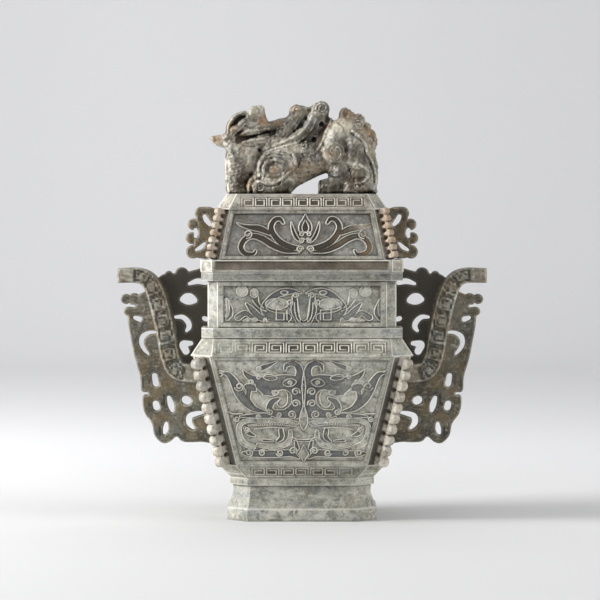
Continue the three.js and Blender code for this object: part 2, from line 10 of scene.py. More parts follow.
import bpy
import numpy as np
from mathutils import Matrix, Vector


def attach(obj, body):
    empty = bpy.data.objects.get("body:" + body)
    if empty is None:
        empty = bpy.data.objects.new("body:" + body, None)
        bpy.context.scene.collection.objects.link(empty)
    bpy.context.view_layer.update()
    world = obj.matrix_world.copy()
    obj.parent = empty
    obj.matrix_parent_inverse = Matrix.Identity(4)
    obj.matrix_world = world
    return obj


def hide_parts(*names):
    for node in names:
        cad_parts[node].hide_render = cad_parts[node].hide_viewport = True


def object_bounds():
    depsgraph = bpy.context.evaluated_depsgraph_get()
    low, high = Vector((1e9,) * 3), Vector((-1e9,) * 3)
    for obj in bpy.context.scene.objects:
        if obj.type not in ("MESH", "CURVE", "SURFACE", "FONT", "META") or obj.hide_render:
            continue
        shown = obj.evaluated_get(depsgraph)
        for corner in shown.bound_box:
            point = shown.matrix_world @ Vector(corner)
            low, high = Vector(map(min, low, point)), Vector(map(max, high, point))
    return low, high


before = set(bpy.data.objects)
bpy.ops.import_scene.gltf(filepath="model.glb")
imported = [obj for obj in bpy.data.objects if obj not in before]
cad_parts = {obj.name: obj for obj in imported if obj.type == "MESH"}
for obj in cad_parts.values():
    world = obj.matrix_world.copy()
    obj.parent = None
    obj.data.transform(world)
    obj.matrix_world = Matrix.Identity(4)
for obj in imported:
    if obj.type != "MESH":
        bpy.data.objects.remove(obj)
cad_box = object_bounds()

DRAWN_HEIGHT = 319.68
MM = float(cad_box[1][2]) / DRAWN_HEIGHT

# The courses from the foot up: height, half width, half depth and cut corner.
PLINTH_FOOT = (0.0, 56.7, 39.0, 15.5)
PLINTH_TOP = (9.2, 56.7, 39.0, 15.5)
SPLAY_FOOT = (9.0, 55.8, 38.1, 15.1)
WAIST_FOOT = (18.7, 52.2, 35.0, 13.0)
WAIST_TOP = (27.0, 52.2, 35.0, 13.0)
TORUS_FOOT = (27.0, 54.4, 37.2, 13.5)
TORUS_TOP = (32.5, 54.4, 37.2, 13.5)
FOOT_BAND_TOP = (43.0, 63.8, 44.0, 14.5)
BELLY_FOOT = (43.0, 63.0, 43.2, 14.5)
BELLY_TOP = (125.1, 81.5, 57.5, 13.3)
SHOULDER_FOOT = (125.1, 83.6, 59.0, 17.0)
SHOULDER_TOP = (138.7, 74.6, 51.0, 9.0)
COLLAR_FOOT = (138.7, 75.3, 51.7, 9.0)
COLLAR_TOP = (146.0, 75.3, 51.7, 9.0)
NECK_FOOT = (146.0, 70.8, 47.5, 8.3)
NECK_TOP = (181.3, 70.8, 47.5, 8.3)
LIP_FOOT = (181.3, 75.4, 52.0, 9.0)
LIP_TOP = (187.6, 75.4, 52.0, 9.0)
TENON_FOOT = (180.6, 63.2, 39.9, 3.9)
RIM_FOOT = (187.9, 76.0, 52.6, 9.2)
RIM_TOP = (196.9, 76.0, 52.6, 9.2)
SLOPE_FOOT = (196.9, 70.0, 47.5, 9.0)
SLOPE_TOP = (234.5, 62.5, 42.0, 9.0)
CAP_FOOT = (234.5, 64.5, 44.0, 10.0)
CAP_TOP = (246.3, 56.8, 37.0, 8.5)
LID_ROOF = (234.5, 50.5, 30.0, 2.0)
FLOOR_LEVEL = 36.0
WALL = 7.0
TENON_WALL = 5.0
FOOT_RING = 9.0
FOOT_RECESS = 2.5

# How far the core is set back under the carved faces, and on the inside.
INSET = 2.2
THIN = 0.3


# Curves and distances

def spline(points, per_span=10, closed=False):
    """A smooth curve through points of any dimension."""
    p = np.asarray(points, float)
    if closed:
        p = np.vstack([p[-1], p, p[0], p[1]])
    else:
        p = np.vstack([2 * p[0] - p[1], p, 2 * p[-1] - p[-2]])
    t = np.linspace(0, 1, per_span, endpoint=False)[:, None]
    out = []
    for a, b, c, d in zip(p[:-3], p[1:-2], p[2:-1], p[3:]):
        bend = (2 * a - 5 * b + 4 * c - d) * t**2 + (3 * b - a - 3 * c + d) * t**3
        out.append(0.5 * (2 * b + (c - a) * t + bend))
    curve = np.vstack(out)
    return curve if closed else np.vstack([curve, p[-2]])


def spiral(centre, radius, turns=1.35, start=0.0, wind=1, count=26):
    """Points along a spiral that winds in to a small eye."""
    t = np.linspace(0, 1, count)
    r = radius * (1 - 0.72 * t)
    a = start + wind * turns * 2 * math.pi * t
    return np.column_stack([centre[0] + r * np.cos(a), centre[1] + r * np.sin(a)])


def lens(u, v, half_width, half_height, tilt=0.0):
    """A closed eye shape with a point at both ends."""
    a = np.linspace(0, 2 * math.pi, 25)
    x = half_width * np.cos(a)
    y = half_height * np.sin(a) * np.abs(np.sin(a)) ** 0.4
    return np.column_stack([u + x * math.cos(tilt) - y * math.sin(tilt), v + x * math.sin(tilt) + y * math.cos(tilt)])


def meander(width, height, pitch):
    """A key-fret square: a line that winds in clockwise from its lower left corner."""
    x0, x1, y0, y1 = 0.0, width, 0.0, height
    line = [(x0, y0)]
    side = 0
    while x1 - x0 > 0.6 * pitch and y1 - y0 > 0.6 * pitch:
        if side == 0:
            line.append((x0, y1))
            x0 += pitch
        elif side == 1:
            line.append((x1, y1))
            y1 -= pitch
        elif side == 2:
            line.append((x1, y0))
            x1 -= pitch
        else:
            line.append((x0, y0))
            y0 += pitch
        side = (side + 1) % 4
    return line


class Sheet:
    """A face's grid of points (u across, v up), on which distances to drawn shapes are found."""

    def __init__(self, u, v):
        self.u, self.v = u, v

    def _near(self, low, high):
        return (self.u > low[0]) & (self.u < high[0]) & (self.v > low[1]) & (self.v < high[1])

    def band(self, points, smooth=8, reach=2.5):
        """Distance to a band of changing half width along a smooth curve through (u, v, half width)."""
        curve = spline(points, smooth)
        out = np.full(self.u.shape, 9.0)
        wide = curve[:, 2].max() + reach
        near = self._near(curve[:, :2].min(0) - wide, curve[:, :2].max(0) + wide)
        u, v = self.u[near], self.v[near]
        best = np.full(u.shape, 9.0)
        for cu, cv, r in curve:
            best = np.minimum(best, np.hypot(u - cu, v - cv) - r)
        out[near] = best
        return out

    def line(self, points, reach=2.5):
        """Distance to the middle of a line of straight pieces."""
        p = np.asarray(points, float)[:, :2]
        out = np.full(self.u.shape, 9.0)
        near = self._near(p.min(0) - reach, p.max(0) + reach)
        u, v = self.u[near], self.v[near]
        best = np.full(u.shape, 9.0)
        for (au, av), (bu, bv) in zip(p[:-1], p[1:]):
            du, dv = bu - au, bv - av
            t = np.clip(((u - au) * du + (v - av) * dv) / max(du * du + dv * dv, 1e-9), 0, 1)
            best = np.minimum(best, np.hypot(u - au - t * du, v - av - t * dv))
        out[near] = best
        return out

    def polygon(self, points):
        """Signed distance to a closed outline, negative inside."""
        p = np.asarray(points, float)
        best = np.full(self.u.shape, 1e9)
        inside = np.zeros(self.u.shape, bool)
        for (au, av), (bu, bv) in zip(p, np.roll(p, -1, axis=0)):
            du, dv = bu - au, bv - av
            t = np.clip(((self.u - au) * du + (self.v - av) * dv) / max(du * du + dv * dv, 1e-9), 0, 1)
            best = np.minimum(best, np.hypot(self.u - au - t * du, self.v - av - t * dv))
            if av != bv:
                crosses = (av > self.v) != (bv > self.v)
                inside ^= crosses & (self.u < du * (self.v - av) / dv + au)
        return np.where(inside, -best, best)


def ramp(distance, width):
    """1 inside a shape, 0 outside, with a smooth edge of that width."""
    t = np.clip(0.5 - distance / width, 0, 1)
    return t * t * (3 - 2 * t)


def both(points):
    """A drawn line and its mirror image across the face's middle."""
    return [points, [(-p[0], *p[1:]) for p in points]]


def blotch(seed, size):
    """A smooth random field over a face, from 0 to 1, with patches of about that size."""
    local = np.random.default_rng(seed)
    waves = []
    for _ in range(7):
        waves.append((local.uniform(0.6, 1.6) / size, *local.uniform(0, 2 * math.pi, 2)))

    def field(u, v):
        total = 0
        for k, a, phase in waves:
            total = total + np.sin(2 * math.pi * k * (u * math.cos(a) + v * math.sin(a)) + phase)
        return np.clip(0.5 + 0.18 * total, 0, 1)

    return field


# Meshes

def make(name, vertices, faces, material, attributes=None, sharp=None):
    """A piece from points in millimetres and faces of 3 or 4 corners, riding on the vase."""
    vertices = np.asarray(vertices, float) * MM
    mesh = bpy.data.meshes.new(name)
    if isinstance(faces, np.ndarray):
        count, corners = faces.shape
        mesh.vertices.add(len(vertices))
        mesh.vertices.foreach_set("co", vertices.astype(np.float32).ravel())
        mesh.loops.add(count * corners)
        mesh.loops.foreach_set("vertex_index", faces.astype(np.int32).ravel())
        mesh.polygons.add(count)
        mesh.polygons.foreach_set("loop_start", np.arange(0, count * corners, corners, dtype=np.int32))
        mesh.update(calc_edges=True)
    else:
        mesh.from_pydata(vertices.tolist(), [], faces)
    mesh.polygons.foreach_set("use_smooth", np.ones(len(mesh.polygons), bool))
    if sharp:
        mesh.set_sharp_from_angle(angle=math.radians(sharp))
    for key, values in (attributes or {}).items():
        attribute = mesh.attributes.new(key, "FLOAT", "POINT")
        attribute.data.foreach_set("value", np.asarray(values, np.float32).ravel())
    mesh.validate()
    piece = bpy.data.objects.new(name, mesh)
    bpy.context.scene.collection.objects.link(piece)
    mesh.materials.append(material)
    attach(piece, "root")
    return piece


def octagon(course):
    """The eight corners of a course's plan, anticlockwise seen from above."""
    z, w, d, c = course
    plan = [(w - c, -d), (w, c - d), (w, d - c), (w - c, d), (c - w, d), (-w, d - c), (-w, c - d), (c - w, -d)]
    return np.array([(x, y, z) for x, y in plan])


def shrink(course, by, z=None):
    """A course taken in by a wall, on its own level or another."""
    level, w, d, c = course
    return (level if z is None else z, w - by, d - by, max(c - by * (2 - math.sqrt(2)), 1.0))


def inset_octagon(course, by):
    """The plan with its four broad faces set back, so that their carved faces can lie on them."""
    z, w, d, c = course
    plan = []
    for sx, sy in ((1, -1), (1, 1), (-1, 1), (-1, -1)):
        corner = [(sx * (w - c), sy * (d - by)), (sx * (w - c), sy * d)]
        corner += [(sx * w, sy * (d - c)), (sx * (w - by), sy * (d - c))]
        plan += corner if sx * sy < 0 else corner[::-1]
    return np.array([(x, y, z) for x, y in plan])


def between(foot, top, z):
    """A tapering course at one level."""
    t = (z - foot[0]) / (top[0] - foot[0])
    return (z, *(a + (b - a) * t for a, b in zip(foot[1:], top[1:])))


def walls(rings, first, last):
    """The quads between rings of equal length, from one ring to another."""
    n = len(rings[0])
    faces = []
    for r in range(first, last):
        s = (r + 1) % len(rings)
        for i in range(n):
            j = (i + 1) % n
            faces.append((r * n + i, r * n + j, s * n + j, s * n + i))
    return faces


def skin(*rings):
    """The vertices and faces of a closed body through rings of equal length."""
    n = len(rings[0])
    faces = walls(rings, 0, len(rings) - 1)
    faces.append(tuple(range(n - 1, -1, -1)))
    faces.append(tuple(range((len(rings) - 1) * n, len(rings) * n)))
    return np.vstack(rings), faces


def hoop(outer, inner):
    """A closed hoop: up its outer rings and down its inner ones."""
    rings = list(outer) + list(inner)[::-1]
    return np.vstack(rings), walls(rings, 0, len(rings))


def plain_hoop(foot, top, wall=WALL):
    """One course of the wall as a hoop."""
    inner = [octagon(shrink(foot, wall)), octagon(shrink(top, wall))]
    return hoop([octagon(foot), octagon(top)], inner)


def core_hoop(foot, top, inner_foot=None, inner_top=None):
    """The same where carved faces cover it, with its broad faces set back."""
    inner_foot = inner_foot or shrink(foot, WALL)
    inner_top = inner_top or shrink(top, WALL)
    outer = [inset_octagon(foot, INSET), inset_octagon(top, INSET)]
    return hoop(outer, [inset_octagon(inner_foot, THIN), inset_octagon(inner_top, THIN)])


def stone_piece(name, parts, material, edge=0.7):
    """Several closed bodies, each with its tone and blue, as one piece with its sharp edges rounded."""
    vertices, faces, tones, blues, start = [], [], [], [], 0
    for (v, f), tone, blue in parts:
        vertices.append(v)
        faces += [tuple(i + start for i in face) for face in f]
        tones += [tone] * len(v)
        blues += [blue] * len(v)
        start += len(v)
    attributes = {"tone": tones, "blue": blues}
    piece = make(name, np.vstack(vertices), faces, material, attributes)
    bevel = piece.modifiers.new("edges", "BEVEL")
    bevel.width = edge * MM
    bevel.segments = 2
    bevel.limit_method = "ANGLE"
    bevel.angle_limit = math.radians(24)
    graph = bpy.context.evaluated_depsgraph_get()
    mesh = bpy.data.meshes.new_from_object(piece.evaluated_get(graph))
    piece.modifiers.clear()
    piece.data = mesh
    mesh.set_sharp_from_angle(angle=math.radians(30))
    return piece


# Distance fields

class Carving:
    """A block of stone as a distance field on a grid, built up and cut by shapes."""

    def __init__(self, low, high, step):
        self.low, self.step = np.asarray(low, float), step
        self.axes = [np.arange(a, b + step, step) for a, b in zip(low, high)]
        self.field = np.full([len(a) for a in self.axes], 20.0, np.float32)
        x, z = np.meshgrid(self.axes[0], self.axes[2], indexing="ij")
        self.side = Sheet(x, z)
        self.depth = np.abs(self.axes[1])[None, :, None]

    def merge(self, cut, distance, blend):
        """Joins a shape to the block, with a fillet as wide as the blend."""
        here = self.field[cut]
        merged = np.minimum(here, distance)
        if blend:
            overlap = np.maximum(blend - np.abs(here - distance), 0) / blend
            merged = merged - overlap * overlap * blend / 4
        self.field[cut] = merged

    def slab(self, outline, thick, round_edge=1.5, blend=0.0):
        """A plate: outline is the distance to its plan on X and Z, and thick is its half depth."""
        i, k = np.nonzero(outline < round_edge + blend + 2)
        cut = (slice(i.min(), i.max() + 1), slice(None), slice(k.min(), k.max() + 1))
        flat = outline[cut[0], cut[2]][:, None, :] + round_edge
        deep = self.depth - thick + round_edge
        corner = np.hypot(np.maximum(flat, 0), np.maximum(deep, 0))
        self.merge(cut, corner + np.minimum(np.maximum(flat, deep), 0) - round_edge, blend)

    def ball(self, centre, radii, blend=0.0):
        """A rounded mass on both flanks, its centre at that depth from the middle plane."""
        x, y, z = (a - c for a, c in zip((self.axes[0], np.abs(self.axes[1]), self.axes[2]), centre))
        x, y, z = x[:, None, None], y[None, :, None], z[None, None, :]
        rx, ry, rz = radii
        k0 = np.sqrt((x / rx) ** 2 + (y / ry) ** 2 + (z / rz) ** 2)
        k1 = np.sqrt((x / rx**2) ** 2 + (y / ry**2) ** 2 + (z / rz**2) ** 2) + 1e-9
        self.merge((slice(None),) * 3, k0 * (k0 - 1) / k1, blend)

    def pierce(self, outline, web=0.0):
        """Cuts an outline through, or only down to a web in the middle."""
        cut = np.maximum(outline[:, None, :], web - self.depth)
        self.field = np.maximum(self.field, -cut).astype(np.float32)

    def raise_by(self, lift, beyond):
        """Raises or sinks the broad sides by a drawn height, outside that depth."""
        self.field -= (lift[:, None, :] * (self.depth > beyond)).astype(np.float32)

    def read(self, drawn, points):
        """A drawn field's value at each point of the mesh."""
        i, k = (np.rint((points[:, a] - self.low[a]) / self.step).astype(int) for a in (0, 2))
        return drawn[np.clip(i, 0, drawn.shape[0] - 1), np.clip(k, 0, drawn.shape[1] - 1)]

    def mesh(self):
        return surface(self.field, self.low, self.step)


def surface(field, low, step):
    """The zero surface of a field, as points and faces of four corners."""
    inside = field < 0
    shape = np.array(field.shape) - 1
    count = np.zeros(shape, np.int8)
    for i in (0, 1):
        for j in (0, 1):
            for k in (0, 1):
                count += inside[i : shape[0] + i, j : shape[1] + j, k : shape[2] + k]
    mixed = (count > 0) & (count < 8)
    cells = np.argwhere(mixed)
    index = np.full(mixed.shape, -1, np.int64)
    index[mixed] = np.arange(len(cells))
    total, hits = np.zeros((len(cells), 3)), np.zeros(len(cells))
    unit = np.eye(3, dtype=int)
    for axis in range(3):
        across = [unit[a] for a in range(3) if a != axis]
        for i in (0, 1):
            for j in (0, 1):
                corner = cells + i * across[0] + j * across[1]
                f0 = field[tuple(corner.T)]
                f1 = field[tuple((corner + unit[axis]).T)]
                crosses = (f0 < 0) != (f1 < 0)
                t = f0[crosses] / (f0[crosses] - f1[crosses])
                total[crosses] += corner[crosses] + t[:, None] * unit[axis]
                hits[crosses] += 1
    faces = []
    for axis in range(3):
        b, c = unit[(axis + 1) % 3], unit[(axis + 2) % 3]
        first = inside[tuple(slice(None, -1) if a == axis else slice(None) for a in range(3))]
        second = inside[tuple(slice(1, None) if a == axis else slice(None) for a in range(3))]
        for flipped, edges in ((False, first & ~second), (True, ~first & second)):
            at = np.argwhere(edges)
            quad = np.stack([index[tuple((at - shift).T)] for shift in (b + c, c, 0 * b, b)], -1)
            faces.append(quad[:, ::-1] if flipped else quad)
    return low + step * total / hits[:, None], np.vstack(faces)


# Materials

def colour(red, green, blue):
    """An sRGB colour of 0 to 255 as a linear one."""
    values = []
    for value in (red, green, blue):
        value /= 255
        values.append(value / 12.92 if value <= 0.04045 else ((value + 0.055) / 1.055) ** 2.4)
    return (*values, 1.0)


class Shader:
    """Short names for the nodes of one material."""

    def __init__(self, name):
        self.material = bpy.data.materials.new(name)
        self.material.use_nodes = True
        self.tree = self.material.node_tree
        self.principled = self.tree.nodes["Principled BSDF"]
        self.place = self.tree.nodes.new("ShaderNodeTexCoord").outputs["Object"]

    def link(self, source, target):
        self.tree.links.new(source, target)

    def noise(self, size, detail=5.0, rough=0.55, warp=0.0, flat=1.0):
        """Noise with features of about that many millimetres, squashed in height by flat."""
        squash = self.tree.nodes.new("ShaderNodeVectorMath")
        squash.operation = "MULTIPLY"
        squash.inputs[1].default_value = (1.0, 1.0, flat)
        self.link(self.place, squash.inputs[0])
        node = self.tree.nodes.new("ShaderNodeTexNoise")
        node.inputs["Scale"].default_value = 1 / (size * MM)
        node.inputs["Detail"].default_value = detail
        node.inputs["Roughness"].default_value = rough
        node.inputs["Distortion"].default_value = warp
        self.link(squash.outputs[0], node.inputs["Vector"])
        return node.outputs["Fac"]

    def ramp(self, source, low, high, most=1.0):
        node = self.tree.nodes.new("ShaderNodeMapRange")
        node.interpolation_type = "SMOOTHSTEP"
        node.inputs["From Min"].default_value = low
        node.inputs["From Max"].default_value = high
        node.inputs["To Max"].default_value = most
        self.link(source, node.inputs["Value"])
        return node.outputs["Result"]

    def maths(self, operation, first, second):
        node = self.tree.nodes.new("ShaderNodeMath")
        node.operation = operation
        for socket, value in zip(node.inputs, (first, second)):
            if isinstance(value, (int, float)):
                socket.default_value = value
            else:
                self.link(value, socket)
        return node.outputs[0]

    def mix(self, factor, first, second):
        node = self.tree.nodes.new("ShaderNodeMix")
        node.data_type = "RGBA"
        for socket, value in ((node.inputs[0], factor), (node.inputs[6], first), (node.inputs[7], second)):
            if isinstance(value, tuple):
                socket.default_value = value
            else:
                self.link(value, socket)
        return node.outputs[2]

    def attribute(self, name):
        node = self.tree.nodes.new("ShaderNodeAttribute")
        node.attribute_name = name
        return node.outputs["Fac"]

    def openness(self, distance, inside=False):
        """1 in the open and less in a hollow, or, from inside, less along an edge."""
        node = self.tree.nodes.new("ShaderNodeAmbientOcclusion")
        node.samples = 6
        node.inside = node.only_local = inside
        node.inputs["Distance"].default_value = distance * MM
        return node.outputs["AO"]


COOL, DARK, PALE_WEAR_AND_HIGHLIGHT = colour(116, 126, 130), colour(44, 41, 34), colour(226, 222, 210)
SLATE, RUST, UMBER = colour(66, 74, 84), colour(136, 104, 68), colour(46, 40, 29)


def jade(name, pale, mid, low, warm, stained=0.4, roughness=(0.38, 0.66)):
    """Old polished stone: clouds and streaks of grey, specks and scratches, brown stains, dirt and painted
    shade in its hollows, and light worn edges. The relief's tints come from the mesh, painted highlights and
    painted shade among them."""
    s = Shader(name)
    large = s.noise(60, 4, 0.55, 0.6)
    medium = s.noise(17, 7, 0.68, 0.5)
    fine = s.noise(4.6, 7, 0.74, 0.3)
    grain = s.noise(1.6, 3, 0.65)
    streaks = s.noise(26, 8, 0.68, 0.3, flat=3.4)
    base = s.mix(s.ramp(large, 0.38, 0.62), mid, pale)
    base = s.mix(s.ramp(medium, 0.44, 0.62, 0.85), base, low)
    base = s.mix(s.ramp(streaks, 0.52, 0.64, 0.55), base, COOL)
    base = s.mix(s.ramp(streaks, 0.46, 0.36, 0.45), base, PALE_WEAR_AND_HIGHLIGHT)
    base = s.mix(s.ramp(fine, 0.52, 0.66, 0.62), base, DARK)
    base = s.mix(s.ramp(fine, 0.46, 0.34, 0.5), base, PALE_WEAR_AND_HIGHLIGHT)
    base = s.mix(s.ramp(grain, 0.56, 0.70, 0.6), base, DARK)
    base = s.mix(s.ramp(grain, 0.42, 0.30, 0.5), base, PALE_WEAR_AND_HIGHLIGHT)
    blue = s.maths("MULTIPLY", s.attribute("blue"), s.ramp(medium, 0.70, 0.42))
    base = s.mix(s.maths("MULTIPLY", blue, 0.85), base, SLATE)
    stain = s.noise(30, 7, 0.7, 1.0)
    base = s.mix(s.ramp(stain, 0.54, 0.70, stained), base, warm)
    brown = s.maths("MULTIPLY", s.attribute("brown"), s.ramp(stain, 0.28, 0.55))
    base = s.mix(brown, base, warm)
    # A raised tone pales the stone and a lowered one darkens it: carved lines and worn marks, with painted highlights
    # and painted shade among them.
    tone = s.attribute("tone")
    lifted = s.maths("MULTIPLY", s.maths("MAXIMUM", tone, 0.0), s.ramp(fine, 0.66, 0.40))
    base = s.mix(lifted, base, PALE_WEAR_AND_HIGHLIGHT)
    base = s.mix(s.maths("MAXIMUM", s.maths("MULTIPLY", tone, -1.0), 0.0), base, UMBER)
    base = s.mix(s.ramp(s.openness(1.2, inside=True), 0.96, 0.62, 0.62), base, PALE_WEAR_AND_HIGHLIGHT)
    # Painted shade with dirt: darker where stone hems the surface in, in hollows, joints and beside the flanges.
    base = s.mix(s.ramp(s.openness(3.5), 0.74, 0.30, 0.85), base, DARK)
    s.link(base, s.principled.inputs["Base Color"])
    rough = s.tree.nodes.new("ShaderNodeMapRange")
    rough.inputs["To Min"].default_value, rough.inputs["To Max"].default_value = roughness
    s.link(medium, rough.inputs["Value"])
    s.link(rough.outputs["Result"], s.principled.inputs["Roughness"])
    bump = s.tree.nodes.new("ShaderNodeBump")
    bump.inputs["Strength"].default_value = 0.45
    bump.inputs["Distance"].default_value = 0.9 * MM
    s.link(s.maths("ADD", fine, s.maths("MULTIPLY", grain, 0.4)), bump.inputs["Height"])
    s.link(bump.outputs["Normal"], s.principled.inputs["Normal"])
    return s.material


vase_stone = jade("vase_jade", colour(196, 195, 183), colour(162, 161, 147), colour(116, 117, 104),
                  colour(122, 113, 84), 0.6)
lid_stone = jade("lid_jade", colour(182, 177, 164), colour(144, 139, 126), colour(104, 99, 88),
                 colour(126, 104, 74), 0.45)
beast_stone = jade("beast_jade", colour(204, 198, 182), colour(146, 140, 122), colour(74, 71, 58),
                   RUST, 0.45, (0.26, 0.48))
handle_stone = jade("handle_jade", colour(132, 130, 114), colour(100, 97, 82), colour(68, 65, 53),
                    colour(104, 84, 50), 0.5)
flange_stone = jade("flange_jade", colour(216, 212, 200), colour(184, 178, 163), colour(126, 121, 108),
                    RUST, 0.3)


# Carved faces

def face_frame(foot, top, turn):
    """A broad face between two courses: its origin, right, up and out, half widths and length."""
    (z0, w0, d0, c0), (z1, w1, d1, c1) = foot, top
    if turn % 2:
        w0, d0, w1, d1 = d0, w0, d1, w1
    a = turn * math.pi / 2
    spin = np.array([[math.cos(a), -math.sin(a), 0], [math.sin(a), math.cos(a), 0], [0, 0, 1]])
    rise = np.array([0, d0 - d1, z1 - z0])
    length = np.linalg.norm(rise)
    right = np.array([1.0, 0, 0])
    out = np.cross(right, rise / length)
    return spin @ (0, -d0, z0), spin @ right, spin @ rise / length, spin @ out, w0 - c0, w1 - c1, length


def carved_face(name, foot, top, turn, step, carve, material):
    """A closed slab over one broad face, its front a height field: carve(sheet, half, length) gives the
    height, tone, blue and brown of each point."""
    origin, right, up, out, half0, half1, length = face_frame(foot, top, turn)
    slab_depth, edge_round, edge_drop = 3.2, 0.8, 0.45
    columns = max(int(2 * max(half0, half1) / step), 8)
    rows = max(int(length / step), 4)
    s, t = np.meshgrid(np.linspace(-1, 1, columns + 1), np.linspace(0, 1, rows + 1))
    half = half0 + (half1 - half0) * t
    u, v = s * half, t * length
    height, tone, blue, brown = carve(Sheet(u, v), half, length)
    edge = np.minimum(np.minimum(half - np.abs(u), v), length - v)
    height = height - edge_drop * np.clip(1 - edge / edge_round, 0, 1) ** 2
    n, m = u.shape
    grid = origin + u[..., None] * right + v[..., None] * up
    front = (grid + height[..., None] * out).reshape(-1, 3)
    rear = (grid - slab_depth * out).reshape(-1, 3)
    index = np.arange(n * m).reshape(n, m)
    a, b, c, d = index[:-1, :-1], index[:-1, 1:], index[1:, 1:], index[1:, :-1]
    around = np.concatenate([index[0, :-1], index[:-1, -1], index[-1, :0:-1], index[:0:-1, 0]])
    k = len(around)
    here = np.arange(k)
    after = (here + 1) % k
    start = n * m
    sides = np.stack([around[after], around[here], start + here, start + after], -1)
    quads = np.vstack([np.stack([a, b, c, d], -1).reshape(-1, 4), sides])
    back = np.stack([start + after, start + here, np.full(k, start + k)], -1)
    triangles = np.vstack([quads[:, [0, 1, 2]], quads[:, [0, 2, 3]], back])
    vertices = np.vstack([front, rear[around], [rear.mean(0)]])
    attributes = {}
    for key, drawn in (("tone", tone), ("blue", blue), ("brown", brown)):
        attributes[key] = np.concatenate([np.broadcast_to(drawn, u.shape).ravel(), np.zeros(k + 1)])
    return make(name, vertices, triangles, material, attributes, sharp=50)


def panel(sheet, half, length, motif=None, margin=3.2, sink=1.2, wear=None, ground_blue=0.0, body_brown=0.0,
          shift=0.0):
    """A sunk panel with its relief, the same on both sides of its own middle: rounded bodies edged by raised
    threads, pale plates, and scrolls."""
    u, v = sheet.u, sheet.v
    inside = np.minimum(np.minimum(half - margin - np.abs(u), v - margin), length - margin - v)
    field = ramp(-inside, 0.8)
    motif = motif or {}
    sheet = Sheet(u - shift, v)
    u = sheet.u
    cover = np.full(u.shape, 9.0)
    for body in motif.get("bodies", []):
        for side in both(body):
            cover = np.minimum(cover, sheet.band(side))
    plates = np.full(u.shape, 9.0)
    for cu, cv, ru, rv in motif.get("plates", []):
        plate = (np.hypot((np.abs(u) - cu) / ru, (v - cv) / rv) - 1) * min(ru, rv)
        plates = np.minimum(plates, plate)
    for band in motif.get("frames", []):
        for side in both(band):
            plates = np.minimum(plates, sheet.band(side))
    thread = np.minimum(np.abs(cover) - 0.26, np.abs(plates) - 0.2)
    for line in motif.get("threads", []):
        for side in both(line):
            thread = np.minimum(thread, sheet.line(spline(side, 6)) - 0.32)
    for line in motif.get("straight", []):
        for side in both(line):
            thread = np.minimum(thread, sheet.line(side) - 0.32)
    for x, y, r in motif.get("scrolls", []):
        for sign in (-1, 1):
            start = math.pi / 2 + sign * (0.6 + 0.21 * x)
            curl = spiral((sign * x, y), 1.15 * r, start=start, wind=-sign)
            thread = np.minimum(thread, sheet.line(curl) - 0.45)
            cover = np.minimum(cover, np.hypot(u - sign * x, v - y) - 1.15 * r)
    body = ramp(cover, 1.0) * (1 - ramp(plates, 0.8))
    dome = np.clip(-cover / 4, 0, 1)
    plate = ramp(plates, 1.0)
    raised = ramp(thread, 0.5)
    beside = ramp(thread - 0.8, 0.9) * (1 - raised)
    fade = np.ones(u.shape) if wear is None else wear(u, v)
    relief = (0.55 + 0.5 * dome) * body + 0.85 * plate
    relief = relief + (sink + 0.1 - relief) * raised
    patch = blotch(17, 26)(u, v)
    height = field * (fade * relief - sink)
    # Pale threads; darker just beside them, dirt together with painted shade; darker along the panel's sunk edge and
    # paler just outside it.
    tone = field * fade * ((0.3 + 0.6 * patch) * raised - 0.5 * beside + 0.5 * plate * (1 - raised))
    tone = tone - 0.8 * np.exp(-((inside / 0.9) ** 2)) + 0.3 * np.exp(-(((inside + 1.5) / 0.9) ** 2))
    flat = field * (1 - raised)
    blue = flat * (fade * body * (1 - body_brown) + ground_blue * (1 - body) * np.clip(1.5 - patch, 0, 1))
    ground = flat * (1 - body) * (1 - plate)
    tone = tone - flat * fade * body * (0.95 * body_brown + 0.2 * (1 - body_brown))
    tone = tone + ground * (0.65 - 0.55 * patch - 0.75 * ground_blue)
    return height, tone, blue, flat * body * body_brown


def frets(sheet, half, length, cells, pitch, kept, depth=0.55):
    """A row of key-fret squares: thin pale lines left standing in a dark cut ground."""
    u, v = sheet.u, sheet.v
    reach = float(np.min(half)) - 2.5
    gap = 0.45 * pitch
    width = 2 * reach / cells - 2 * gap
    low, high = 0.15 * length, 0.85 * length
    line = np.minimum(np.abs(v - low), np.abs(v - high))
    for i in range(cells):
        left = -reach + i * (width + 2 * gap) + gap
        square = []
        for x, y in meander(width, high - low - 1.6 * pitch, pitch):
            square.append((left + (width - x if i % 2 else x), low + 0.8 * pitch + y))
        line = np.minimum(line, sheet.line(square))
    stands = ramp(line - 0.38, 0.5)
    keep = kept(u, v)
    inside = np.minimum(np.minimum(v - low, high - v), reach - np.abs(u))
    field = ramp(-0.5 - inside, 0.6)
    cut = keep * field * (1 - stands)
    worn = 0.05 - 0.45 * blotch(23, 18)(u, v)
    tone = keep * field * (0.5 * stands - 0.9 * (1 - stands)) + (1 - field) * worn
    return -depth * cut, tone, 0 * u, 0.6 * cut


